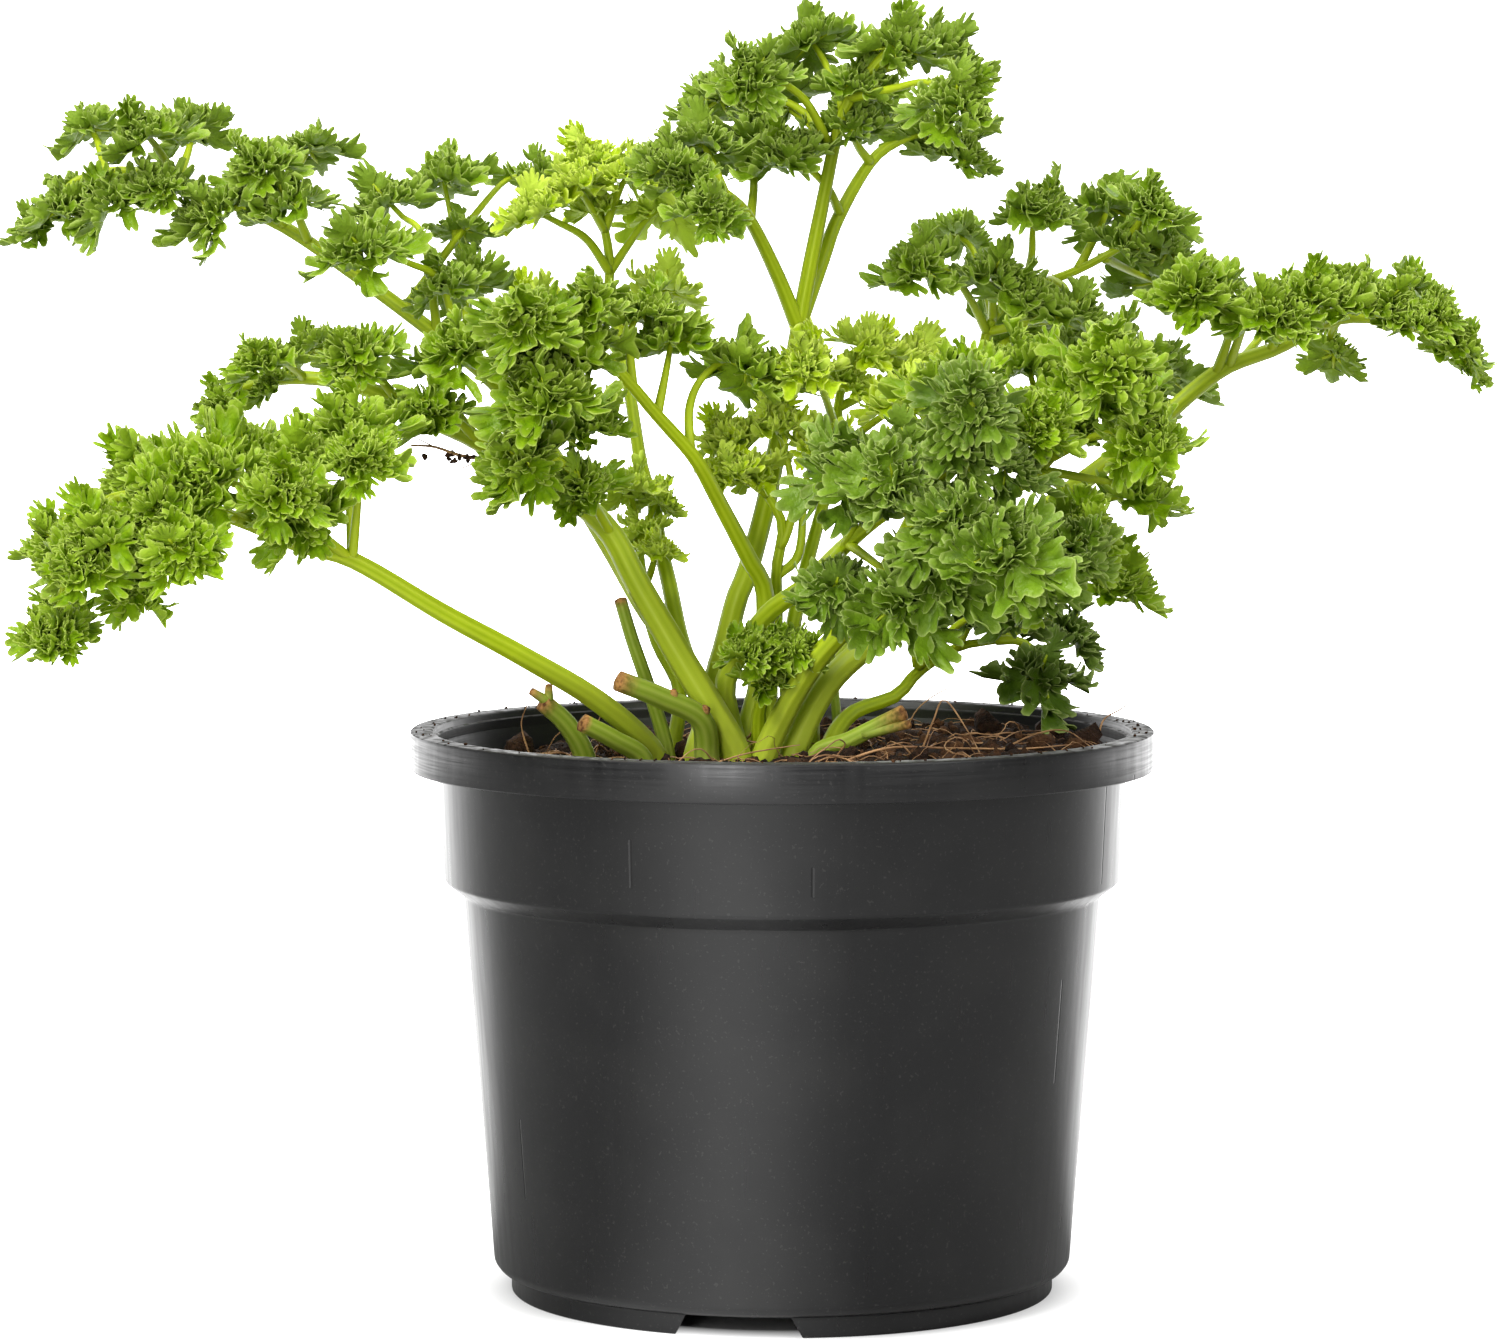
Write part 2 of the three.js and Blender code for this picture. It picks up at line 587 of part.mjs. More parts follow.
// A closed tapering tube along straight pieces between the route's points.
function tube(route, thick, thin) {
  const sides = STALK_SIDES;
  const lengths = [0];
  for (let i = 1; i < route.length; i += 1)
    lengths.push(lengths[i - 1] + route[i].distanceTo(route[i - 1]));
  const total = lengths.at(-1);
  let across = new THREE.Vector3(0, 1, 0);
  const points = [];
  route.forEach((p, i) => {
    const before = route[Math.max(i - 1, 0)];
    const after = route[Math.min(i + 1, route.length - 1)];
    const along = after.clone().sub(before).normalize();
    if (Math.abs(across.dot(along)) > 0.95) across = new THREE.Vector3(1, 0, 0);
    across = across.clone().addScaledVector(along, -across.dot(along)).normalize();
    const other = along.clone().cross(across);
    const radius = thick + (thin - thick) * (lengths[i] / total);
    for (let k = 0; k < sides; k += 1) {
      const a = (2 * Math.PI * k) / sides;
      const corner = p.clone().addScaledVector(across, radius * Math.cos(a));
      points.push(corner.addScaledVector(other, radius * Math.sin(a)));
    }
  });
  const faces = [];
  const end = (route.length - 1) * sides;
  for (let k = 0; k < sides; k += 1) {
    const next = (k + 1) % sides;
    for (let ring = 0; ring < end; ring += sides) {
      faces.push([ring + k, ring + next, ring + sides + next]);
      faces.push([ring + k, ring + sides + next, ring + sides + k]);
    }
    if (k > 1) faces.push([0, k, k - 1], [end, end + k - 1, end + k]);
  }
  return solidFrom(points, faces);
}

// The stalk's route with its foot in the peat added in front.
function rooted(stalk) {
  const foot = vec(stalk[0]);
  return [foot.clone().setZ(foot.z - CROWN_DEPTH), ...stalk.map(vec)];
}

const lengthOf = (route) => route.slice(1).reduce((sum, p, i) => sum + p.distanceTo(route[i]), 0);

// The point of a route that is nearest to a point.
function nearestOn(route, point) {
  let best = route[0].clone();
  for (let i = 1; i < route.length; i += 1) {
    const found = new THREE.Vector3();
    new THREE.Line3(route[i - 1], route[i]).closestPointToPoint(point, true, found);
    if (found.distanceTo(point) < best.distanceTo(point)) best = found;
  }
  return best;
}

// ---- leaves ----

// A point part of the way along a route, with the route's direction there.
function along(route, share) {
  const parts = route.slice(1).map((p, i) => p.distanceTo(route[i]));
  let rest = share * parts.reduce((a, b) => a + b, 0);
  let i = 0;
  while (i < parts.length - 1 && rest > parts[i]) {
    rest -= parts[i];
    i += 1;
  }
  const point = route[i].clone().lerp(route[i + 1], Math.min(rest / parts[i], 1));
  return { point, ahead: route[i + 1].clone().sub(route[i]).normalize() };
}

// Where a leaflet's corners lie: degrees off its own middle, share of its length, and share of its
// length that the corner is curled up or down. Each tooth stands between two notches.
const SIDE_LEAFLET = [[20, 0.92, 0.3], [2, 0.62, -0.06], [-18, 1, 0.16]];
const END_LEAFLET = [[54, 0.8, 0.24], [29, 0.58, -0.04], [0, 1, 0.2], [-29, 0.58, -0.04], [-54, 0.8, 0.24]];
const SIDE_ANGLES = [70, 52]; // degrees between the rib and a side leaflet, first pair first

// The way ahead, the upper side and the right of a leaf or its stalk. The upper side faces up where
// the way is level, and back towards the parent stalk where it rises.
function frameOf(ahead, heading) {
  const upper = new THREE.Vector3(0, 0, ahead.dot(heading) + 0.2).addScaledVector(heading, -ahead.z);
  upper.addScaledVector(ahead, -upper.dot(ahead)).normalize();
  return { ahead, upper, right: ahead.clone().cross(upper) };
}

function headingOf(route) {
  const heading = route.at(-1).clone().sub(route[0]).setZ(0);
  return heading.length() < 1 ? new THREE.Vector3(0, -1, 0) : heading.normalize();
}

// A leaf: a thin plate cut to its straight rib into toothed leaflets, with pairs to both sides from
// the given shares of the route on, and one at the end. It narrows to a flat side stalk.
function leafOn(route, size, starts, random, stalked) {
  const heading = headingOf(route);
  const footShare = Math.max(starts[0] - FOOT_SHARE, 0);
  const foot = along(route, footShare).point;
  const rib = route.at(-1).clone().sub(foot);
  const { ahead, upper, right } = frameOf(rib.clone().normalize(), heading);
  const onRib = (share) => foot.clone().addScaledVector(rib, (share - footShare) / (1 - footShare));
  const points = []; // of the plate's middle
  const faces = [];
  const corner = (centre, [degrees, reach, lift]) => {
    const a = radians(degrees);
    const p = centre.clone().addScaledVector(ahead, Math.cos(a) * reach * size);
    p.addScaledVector(right, Math.sin(a) * reach * size);
    return points.push(p.addScaledVector(upper, lift * size * (0.7 + 0.6 * random()))) - 1;
  };
  const beside = (p, offset) => points.push(p.clone().addScaledVector(right, offset)) - 1;
  // One leaflet: a fan of triangles round a point of the rib. hand is 1 on the right, -1 on the left.
  const leaflet = (centre, from, teeth, to, hand) => {
    const rim = [from, ...teeth, to];
    for (let i = 1; i < rim.length; i += 1)
      faces.push(hand > 0 ? [centre, rim[i - 1], rim[i]] : [centre, rim[i], rim[i - 1]]);
  };
  const feet = [beside(foot, FOOT_WIDTH / 2), beside(foot, -FOOT_WIDTH / 2)];
  const edges = [[], []]; // from the foot to the tip, on the right and on the left
  let last = feet;
  let before = null;
  starts.forEach((share, n) => {
    const middle = onRib(share);
    const next = onRib((share + (starts[n + 1] ?? 1)) / 2);
    const centre = beside(middle, 0);
    if (before === null) faces.push([centre, feet[1], feet[0]]);
    else faces.push([before, last[0], centre], [before, centre, last[1]]);
    last = [1, -1].map((hand, k) => {
      const turn = ([off, reach, lift]) => [hand * (SIDE_ANGLES[n] + off), reach, lift];
      const teeth = SIDE_LEAFLET.map((tooth) => corner(middle, turn(tooth)));
      const notch = beside(next, hand * 0.1 * size);
      leaflet(centre, last[k], teeth, notch, hand);
      edges[k].push(...teeth, notch);
      return notch;
    });
    before = centre;
  });
  const centre = beside(route.at(-1), 0);
  faces.push([before, last[0], centre], [before, centre, last[1]]);
  const teeth = END_LEAFLET.map((tooth) => corner(route.at(-1), tooth));
  leaflet(centre, last[0], teeth, last[1], 1);
  const border = [feet[0], ...edges[0], ...teeth, ...edges[1].reverse(), feet[1]];
  return plate(points, upper, faces, border, stalked ? sideStalk(route, heading, footShare) : []);
}

// The stations of a side stalk, from near the leaf's foot back to the stalk that it springs from.
function sideStalk(route, heading, footShare) {
  const shares = footShare > 0.3 ? [footShare / 2, 0] : [0];
  return shares.map((share) => {
    const { point, ahead } = along(route, share);
    const grown = footShare > 0 ? 1 + (SIDE_STALK_GROWTH - 1) * (1 - share / footShare) : 1;
    const { upper, right } = frameOf(ahead, heading);
    return { point, upper, right, width: (FOOT_WIDTH / 2) * grown, height: (BLADE / 2) * grown };
  });
}

// A thin plate: the same triangles above and below, joined by a wall round the border. From the
// border's first and last points, a four-sided stalk runs back through the given stations.
function plate(points, upper, faces, border, stations) {
  const n = points.length;
  const shifted = (sign) => points.map((p) => p.clone().addScaledVector(upper, (sign * BLADE) / 2));
  const vertices = [...shifted(-1), ...shifted(1)];
  const all = faces.flatMap(([a, b, c]) => [[a, c, b], [a + n, b + n, c + n]]);
  for (let i = 1; i < border.length; i += 1) {
    const [a, b] = [border[i - 1], border[i]];
    all.push([a, b, b + n], [a, b + n, a + n]);
  }
  const [right, left] = [border[0], border.at(-1)];
  let ring = [right, right + n, left + n, left];
  stations.forEach((station) => {
    const next = [[1, -1], [1, 1], [-1, 1], [-1, -1]].map(([x, z]) => {
      const p = station.point.clone().addScaledVector(station.right, x * station.width);
      return vertices.push(p.addScaledVector(station.upper, z * station.height)) - 1;
    });
    ring.forEach((a, k) => {
      const m = (k + 1) % 4;
      all.push([a, ring[m], next[m]], [a, next[m], next[k]]);
    });
    ring = next;
  });
  all.push([ring[0], ring[1], ring[2]], [ring[0], ring[2], ring[3]]);
  return solidFrom(vertices, all);
}

// ---- fronds ----

// Ways to bend a side stalk until it is clear of its neighbours: turns about the vertical and lifts,
// in degrees, and how much shorter it grows.
const BENDS = [
  [0, 0, 1], [14, 0, 1], [-14, 0, 1], [0, 14, 1], [0, -14, 1], [28, 8, 0.95], [-28, 8, 0.95],
  [0, 28, 0.9], [0, -26, 0.9], [40, 14, 0.8], [-40, 14, 0.8], [0, 0, 0.7], [60, 20, 0.65], [-60, 20, 0.65],
];

function bent(route, [turn, lift, scale]) {
  const root = route[0];
  const heading = route.at(-1).clone().sub(root).setZ(0).normalize();
  const level = new THREE.Vector3(heading.y, -heading.x, 0);
  return route.map((p) => {
    const q = p.clone().sub(root).applyAxisAngle(level, radians(lift));
    return q.applyAxisAngle(new THREE.Vector3(0, 0, 1), radians(turn)).multiplyScalar(scale).add(root);
  });
}

const isClear = (solid, others) => others.every((other) => solid.minGap(other, GAP) >= GAP * 0.95);

// A side stalk with its leaf is bent until it clears the other fronds, and until its leaf clears
// what is there of its own frond. Long ones carry two pairs of leaflets, short ones a single pair.
function placedPinna(routes, { route, leaf }, others, own, seed) {
  const points = route.map(vec);
  const wanted = points[0];
  points[0] = routes
    .map((stalk) => nearestOn(stalk, wanted))
    .sort((a, b) => a.distanceTo(wanted) - b.distanceTo(wanted))[0];
  const starts = lengthOf(points) > LONG_PINNA ? PAIRS.long : PAIRS.short;
  for (const bend of BENDS) {
    const bentRoute = bent(points, bend);
    const [bare, whole] = [false, true].map((stalked) =>
      leafOn(bentRoute, leaf * bend[2], starts, seeded(seed), stalked),
    );
    if (isClear(bare, own) && isClear(whole, others)) return { bare, whole };
  }
  return null;
}

function makeStalks(frond) {
  const main = tube(bareStalk(rooted(frond.stalk), frond), frond.thick, STALK_TIP);
  const arms = (frond.arms ?? []).map((arm) =>
    tube(bareStalk(arm.route.map(vec), arm), arm.thick, STALK_TIP),
  );
  return union([main, ...arms]);
}

// A stalk stops a little way into the leaf at its tip, which takes the route's last points.
const TIP_POINTS = 3;
const TIP_SHARES = [1, 0.85, 0.7, 0.55]; // of tipLeaf, the largest that fits being taken

function bareStalk(route, { tipLeaf }) {
  if (tipLeaf === 0) return route;
  const inside = route.at(-TIP_POINTS).clone().lerp(route.at(1 - TIP_POINTS), 0.25);
  return [...route.slice(0, 1 - TIP_POINTS), inside];
}

// The leaves that the stalk itself and its arms end in, smaller where a neighbour is near.
function tipBlades(frond, others, seed) {
  const ends = [{ tipLeaf: frond.tipLeaf, route: frond.stalk }, ...(frond.arms ?? [])];
  return ends
    .filter((end) => end.tipLeaf > 0)
    .map((end) => {
      const route = end.route.slice(-TIP_POINTS).map(vec);
      const made = TIP_SHARES.map((share) =>
        leafOn(route, share * end.tipLeaf, PAIRS.tip, seeded(seed), true),
      );
      return made.find((solid) => isClear(solid, others)) ?? made.at(-1);
    });
}

function makeFrond(frond, stalks, others, seed) {
  const routes = [frond.stalk, ...(frond.arms ?? []).map((arm) => arm.route)].map((r) => r.map(vec));
  const own = [stalks, ...tipBlades(frond, others, seed)];
  const pieces = [...own];
  frond.pinnae.forEach((pinna, i) => {
    const made = placedPinna(routes, pinna, others, own, seed + 31 * (i + 1));
    if (made === null) return;
    own.push(made.bare);
    pieces.push(made.whole);
  });
  return largest(union(pieces));
}

// A stub ends where it was cut or torn. Its arms are the nubs and splinters along it.
function makeStub(stub) {
  const main = tube(rooted(stub.stalk), stub.thick, stub.thin);
  const arms = (stub.arms ?? []).map(({ thick, route }) => tube(route.map(vec), thick, 0.7 * thick));
  return union([main, ...arms]);
}

// ---- assembly ----

const MATERIALS = {
  pot: { color: "#232426", roughness: 0.38, metalness: 0 },
  soil: { color: "#3a2618", roughness: 0.95, metalness: 0 },
};

const part = new THREE.Group();

function addMesh(name, solid, look) {
  const material = new THREE.MeshStandardMaterial({ roughness: 0.45, metalness: 0, ...look });
  const mesh = new THREE.Mesh(geometryOf(solid), material);
  mesh.name = name;
  part.add(mesh);
}

// The plain hole that a stalk stands in, a little wider than the stalk.
function socket({ stalk, thick }) {
  const reach = rooted(stalk).slice(0, 3);
  reach[0].z -= GAP;
  return tube(reach, thick + SOCKET_GAP, thick + SOCKET_GAP);
}

const pot = makePot();
const block = makeSoil();
const stubs = STUBS.map(makeStub);
const stalks = FRONDS.map(makeStalks);
const fronds = [];
FRONDS.forEach((frond, i) => {
  const others = [pot, block, ...stubs, ...stalks.filter((_, k) => k !== i), ...fronds];
  const seed = 1000 * (i + 1);
  fronds.push(makeFrond(frond, stalks[i], others, seed));
});
const soil = largest(block.subtract(union([...FRONDS, ...STUBS].map(socket)))).simplify(SLIVER);

addMesh("pot", pot, MATERIALS.pot);
addMesh("soil", soil, MATERIALS.soil);
FRONDS.forEach((frond, i) => addMesh(frond.name, fronds[i], { color: frond.colour }));
STUBS.forEach((stub, i) => addMesh(stub.name, stubs[i], { color: stub.colour }));

// The origin is on the ground, under the middle of the whole plant's width and depth.
const middle = new THREE.Box3().setFromObject(part).getCenter(new THREE.Vector3());
part.position.set(-middle.x, -middle.y, 0);

export default part;
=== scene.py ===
"""Potted curled-leaf parsley, dressed round its fixed frame of solids.

Laid out as an add-on and run as a script. The routes of the stalks are in millimetres from the
pot's axis, x to the right, -y to the front and z up from the ground, as in the frame.
"""

import json
import math

import bmesh
import bpy
import numpy as np
from bpy.props import FloatProperty, IntProperty, PointerProperty, StringProperty
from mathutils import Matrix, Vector, noise


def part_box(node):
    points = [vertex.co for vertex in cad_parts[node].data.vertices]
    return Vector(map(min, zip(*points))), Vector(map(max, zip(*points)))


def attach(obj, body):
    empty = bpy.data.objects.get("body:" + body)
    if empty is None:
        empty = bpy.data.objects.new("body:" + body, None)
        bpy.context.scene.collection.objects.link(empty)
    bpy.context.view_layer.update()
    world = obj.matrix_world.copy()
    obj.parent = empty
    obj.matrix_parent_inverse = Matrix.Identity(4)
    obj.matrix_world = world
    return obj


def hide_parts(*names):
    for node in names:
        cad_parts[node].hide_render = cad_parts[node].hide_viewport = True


bl_info = {
    "name": "Potted curled parsley",
    "version": (1, 0, 0),
    "blender": (4, 5, 0),
    "location": "View3D > Sidebar > Parsley",
    "description": "Grows a potted parsley plant round its solids: pot, peat, stalks and frilled leaves",
    "category": "Object",
}

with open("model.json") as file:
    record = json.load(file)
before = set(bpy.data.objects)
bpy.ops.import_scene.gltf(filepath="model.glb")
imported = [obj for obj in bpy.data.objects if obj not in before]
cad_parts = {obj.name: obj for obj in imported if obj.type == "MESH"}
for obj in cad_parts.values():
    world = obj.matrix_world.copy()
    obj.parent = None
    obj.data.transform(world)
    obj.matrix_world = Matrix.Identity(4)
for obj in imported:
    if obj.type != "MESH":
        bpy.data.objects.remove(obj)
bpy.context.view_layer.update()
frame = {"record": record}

MM = 0.001
BODY = "root"
POT_LOW, POT_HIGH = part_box("pot")
AXIS = (POT_LOW + POT_HIGH) / 2  # the pot's axis, for its x and y
POT_HEIGHT = POT_HIGH.z - POT_LOW.z
RIM_RADIUS = (POT_HIGH.x - POT_LOW.x) / 2
# The material slot of each solid, as the frame's record gives it.
SLOTS = {part["node"]: part["material_slot"] for part in frame["record"]["subparts"]}

# ---- routes ----
# Each frond: its stalk from the peat to the tip, side arms as (thick, tip leaf, route), and leaves as
# (leaflet length, route of the side stalk). thick is a stalk's radius where it leaves the peat.

FRONDS = {
    "frond_left_low": {
        "thick": 2.1,
        "tip_leaf": 9,
        "stalk": [(-22, -12, 95), (-31, -22, 105), (-44, -33, 114), (-57, -42, 122), (-71, -49, 131),
            (-80, -53, 134), (-89, -55, 138), (-99, -56, 141), (-109, -56, 142), (-116, -55, 137),
            (-118, -54, 130), (-120, -53, 122)],
        "leaves": [
            (13, [(-71, -49, 131), (-72, -45, 140), (-73, -40, 149), (-72, -36, 153)]),
            (13, [(-72, -50, 132), (-81, -60, 140), (-88, -62, 144), (-95, -62, 145)]),
            (13, [(-81, -53, 134), (-87, -44, 141), (-90, -38, 147), (-91, -34, 149)]),
            (12, [(-89, -55, 138), (-95, -64, 141), (-102, -66, 141)]),
            (12, [(-99, -56, 141), (-104, -47, 145), (-108, -42, 146)]),
            (11, [(-102, -56, 142), (-107, -64, 141), (-112, -68, 137)]),
            (10, [(-107, -56, 142), (-106, -60, 135), (-107, -62, 129)]),
            (10, [(-112, -56, 141), (-118, -49, 139), (-121, -46, 134)]),
            (9, [(-71, -49, 131), (-70, -55, 141), (-69, -61, 149)]),
            (11, [(-80, -53, 134), (-80, -60, 141), (-81, -68, 144)]),
            (11, [(-94, -56, 140), (-97, -66, 139), (-98, -73, 135)]),
            (10, [(-110, -56, 142), (-112, -64, 138), (-114, -69, 132)]),
            (9, [(-117, -54, 134), (-118, -60, 127), (-119, -63, 120)]),
            (11, [(-89, -55, 138), (-83, -50, 144), (-80, -48, 148)]),
        ],
    },
    "frond_top_left": {
        "thick": 2,
        "tip_leaf": 8,
        "stalk": [(-15, -9, 95), (-13, -8, 103), (-18, -4, 112), (-24, 0, 120), (-30, 4, 130),
            (-39, 9, 144), (-49, 13, 157), (-61, 16, 167), (-76, 18, 178), (-88, 19, 186),
            (-97, 20, 190), (-106, 20, 194), (-116, 20, 196), (-123, 20, 195), (-128, 20, 192),
            (-132, 20, 187)],
        "leaves": [
            (12, [(-53, 14, 161), (-57, 9, 168), (-60, 4, 177), (-65, -2, 180), (-73, -7, 183)]),
            (11, [(-59, 5, 174), (-63, 10, 184), (-67, 14, 188), (-70, 16, 191)]),
            (12, [(-54, 14, 161), (-56, 22, 169), (-57, 27, 177), (-59, 31, 186), (-61, 34, 195)]),
            (9, [(-57, 29, 181), (-54, 36, 190), (-49, 42, 195), (-44, 46, 195)]),
            (11, [(-88, 19, 186), (-90, 12, 193), (-92, 6, 198)]),
            (11, [(-90, 19, 187), (-88, 27, 194), (-85, 34, 200)]),
            (11, [(-97, 20, 190), (-99, 12, 191), (-100, 6, 189)]),
            (11, [(-106, 20, 194), (-110, 13, 200), (-112, 8, 203)]),
            (10, [(-106, 20, 194), (-106, 28, 200), (-106, 34, 204)]),
            (9, [(-119, 20, 196), (-122, 26, 201), (-124, 30, 204)]),
            (11, [(-84, 19, 183), (-86, 11, 190), (-87, 5, 191)]),
            (11, [(-114, 20, 196), (-116, 12, 194), (-118, 7, 191)]),
            (9, [(-121, 20, 196), (-125, 14, 194), (-127, 9, 190)]),
            (10, [(-106, 20, 194), (-108, 12, 195), (-109, 6, 194)]),
        ],
    },
    "frond_left_mid": {
        "thick": 2.6,
        "tip_leaf": 8,
        "stalk": [(-8, -11, 95), (-12, -13, 103), (-18, -13, 113), (-25, -12, 125), (-30, -11, 134),
            (-38, -10, 141), (-49, -8, 147), (-54, -7, 150), (-61, -6, 153), (-67, -4, 156),
            (-75, -2, 159), (-84, 0, 160), (-92, 1, 159), (-98, 2, 156)],
        "leaves": [
            (12, [(-30, -11, 134), (-34, -22, 142), (-38, -30, 147), (-44, -36, 148)]),
            (11, [(-31, -11, 135), (-35, -16, 143), (-36, -19, 149), (-34, -20, 153)]),
            (12, [(-53, -7, 149), (-58, -9, 157), (-59, -10, 162), (-56, -10, 166)]),
            (10, [(-67, -4, 156), (-71, -10, 162), (-74, -14, 165)]),
            (10, [(-73, -3, 159), (-78, 6, 163), (-83, 12, 165)]),
            (9, [(-82, 0, 160), (-86, -8, 163), (-90, -12, 164)]),
            (10, [(-45, -9, 146), (-46, -1, 152), (-41, 3, 154)]),
            (10, [(-53, -7, 149), (-57, -13, 154), (-61, -17, 156)]),
        ],
    },
    "frond_back_left": {
        "thick": 1.7,
        "tip_leaf": 9,
        "stalk": [(-14, -2, 95), (-15, 3, 105), (-18, 9, 114), (-20, 14, 123), (-22, 18, 131),
            (-23, 21, 138), (-25, 23, 143), (-27, 26, 155), (-29, 29, 166), (-31, 31, 174),
            (-31, 32, 180), (-32, 33, 186), (-34, 33, 193), (-35, 33, 198)],
        "leaves": [
            (10, [(-31, 32, 179), (-35, 27, 184), (-40, 22, 187), (-44, 18, 189)]),
            (10, [(-31, 32, 179), (-27, 36, 184), (-24, 40, 188), (-21, 43, 190)]),
            (10, [(-30, 29, 167), (-27, 31, 170), (-24, 33, 173), (-21, 34, 175)]),
            (10, [(-29, 29, 165), (-36, 22, 170), (-44, 16, 172)]),
            (9, [(-32, 33, 186), (-35, 26, 191), (-37, 21, 194)]),
            (9, [(-32, 33, 186), (-29, 30, 193), (-27, 28, 196)]),
        ],
    },
    "frond_centre": {
        "thick": 1.9,
        "tip_leaf": 12,
        "stalk": [(-7, 0, 95), (-4, 3, 107), (-3, 1, 122), (-6, -3, 129), (-11, -9, 139),
            (-14, -14, 145), (-16, -16, 148), (-22, -22, 155), (-26, -26, 160), (-31, -30, 165),
            (-37, -34, 167), (-42, -38, 167)],
        "leaves": [
            (12, [(-16, -16, 148), (-16, -12, 155), (-14, -8, 160), (-10, -5, 163), (-6, -3, 162)]),
            (11, [(-22, -22, 155), (-20, -17, 161), (-19, -13, 167)]),
            (11, [(-26, -26, 160), (-26, -20, 168), (-24, -16, 172)]),
            (13, [(-30, -29, 164), (-35, -38, 162), (-39, -42, 159)]),
            (10, [(-31, -30, 165), (-32, -33, 169), (-33, -35, 174)]),
            (11, [(-36, -33, 166), (-40, -40, 172), (-43, -44, 172)]),
        ],
    },
    "frond_tall": {
        "thick": 2.2,
        "tip_leaf": 11,
        "stalk": [(-12, 3, 95), (-12, 7, 105), (-10, 7, 113), (-8, 6, 121), (-6, 7, 126), (-3, 9, 137),
            (-1, 11, 147), (1, 12, 157), (3, 13, 169), (5, 12, 180), (7, 11, 190), (9, 9, 200),
            (11, 7, 207), (15, 5, 213), (20, 3, 218)],
        "arms": [
            (1.4, 10, [(3, 13, 169), (7, 17, 180), (10, 20, 188), (16, 23, 198), (22, 25, 202),
                (27, 27, 203), (32, 28, 200)]),
            (1.4, 9, [(3, 13, 168), (-1, 9, 178), (-6, 2, 188), (-10, -3, 192), (-15, -7, 195),
                (-18, -8, 196), (-20, -9, 197)]),
        ],
        "leaves": [
            (11, [(-6, 2, 188), (-5, 8, 193), (-5, 14, 198), (-3, 18, 201)]),
            (11, [(-10, -3, 192), (-12, 2, 197), (-14, 6, 201)]),
            (11, [(10, 20, 188), (8, 13, 193), (4, 8, 197), (1, 5, 199)]),
            (10, [(16, 23, 198), (13, 16, 201), (12, 10, 205)]),
            (11, [(9, 9, 200), (5, 14, 204), (1, 19, 207), (-2, 23, 209)]),
            (11, [(9, 9, 200), (4, 0, 208), (-2, -7, 212), (-5, -11, 213)]),
            (11, [(11, 7, 207), (8, 14, 214), (5, 19, 219)]),
            (12, [(13, 6, 209), (19, -2, 210), (25, -8, 211), (30, -12, 208)]),
            (11, [(15, 5, 213), (22, 10, 215), (28, 14, 217)]),
            (9, [(-12, -4, 193), (-12, -12, 192), (-13, -16, 190)]),
            (9, [(21, 25, 201), (19, 31, 204), (17, 35, 207)]),
            (11, [(9, 9, 200), (5, 13, 205), (1, 17, 208), (-5, 21, 210), (-11, 25, 209)]),
        ],
    },
    "frond_centre_small": {
        "thick": 1.5,
        "tip_leaf": 9,
        "stalk": [(-2, 4, 95), (-2, 8, 107), (-1, 9, 117), (-1, 7, 126), (0, 6, 134), (-3, 5, 140),
            (-7, 4, 146), (-10, 3, 150)],
        "leaves": [
            (9, [(-1, 7, 125), (3, 9, 129), (4, 9, 141), (7, 6, 148)]),
            (7, [(-3, 5, 140), (-6, 0, 142), (-9, -3, 144)]),
            (10, [(0, 5, 131), (1, 6, 133), (2, 6, 138), (1, 6, 145), (-1, 5, 152)]),
        ],
    },
    "frond_back_right": {
        "thick": 1.7,
        "tip_leaf": 10,
        "stalk": [(2, 0, 95), (1, 8, 107), (2, 12, 116), (4, 15, 125), (7, 18, 136), (9, 21, 144),
            (10, 22, 150), (10, 22, 155), (12, 22, 161), (16, 22, 165)],
        "leaves": [
            (11, [(10, 21, 147), (14, 18, 150), (18, 14, 153), (22, 10, 156)]),
            (11, [(10, 22, 155), (16, 26, 157), (20, 28, 160), (24, 28, 162)]),
            (9, [(9, 21, 144), (14, 26, 145), (20, 29, 146)]),
            (10, [(10, 22, 150), (8, 12, 155), (6, 3, 160), (4, -4, 163)]),
        ],
    },
    "frond_upper_right": {
        "thick": 1.6,
        "tip_leaf": 10,
        "stalk": [(5, 4, 95), (6, 9, 104), (14, 18, 114), (17, 24, 122), (25, 33, 137), (32, 40, 151),
            (36, 44, 162), (38, 45, 169), (43, 45, 174), (53, 45, 178), (59, 45, 181), (65, 45, 184),
            (70, 45, 182)],
        "leaves": [
            (11, [(36, 45, 166), (34, 38, 173), (30, 32, 178), (24, 27, 180)]),
            (11, [(38, 45, 170), (37, 52, 176), (35, 60, 182), (32, 66, 185)]),
            (11, [(43, 45, 174), (45, 38, 181), (45, 33, 186), (46, 30, 190)]),
            (10, [(47, 45, 175), (48, 53, 173), (49, 57, 171)]),
            (11, [(53, 45, 178), (58, 51, 186), (60, 58, 190)]),
            (11, [(59, 45, 181), (64, 56, 178), (69, 64, 176)]),
            (12, [(35, 43, 160), (41, 54, 165), (48, 63, 168), (56, 69, 167)]),
            (12, [(36, 44, 162), (49, 50, 164), (60, 54, 164), (71, 58, 159)]),
            (10, [(62, 45, 183), (65, 39, 188), (67, 36, 190)]),
            (11, [(38, 45, 169), (38, 38, 175), (38, 32, 178)]),
            (11, [(43, 45, 174), (44, 37, 176), (44, 31, 174)]),
            (11, [(48, 45, 176), (51, 38, 175), (52, 32, 171)]),
            (11, [(38, 45, 168), (49, 42, 169), (60, 38, 166)]),
            (10, [(36, 44, 162), (52, 44, 162), (66, 40, 159)]),
        ],
    },
    "frond_far_right": {
        "thick": 2.3,
        "tip_leaf": 6,
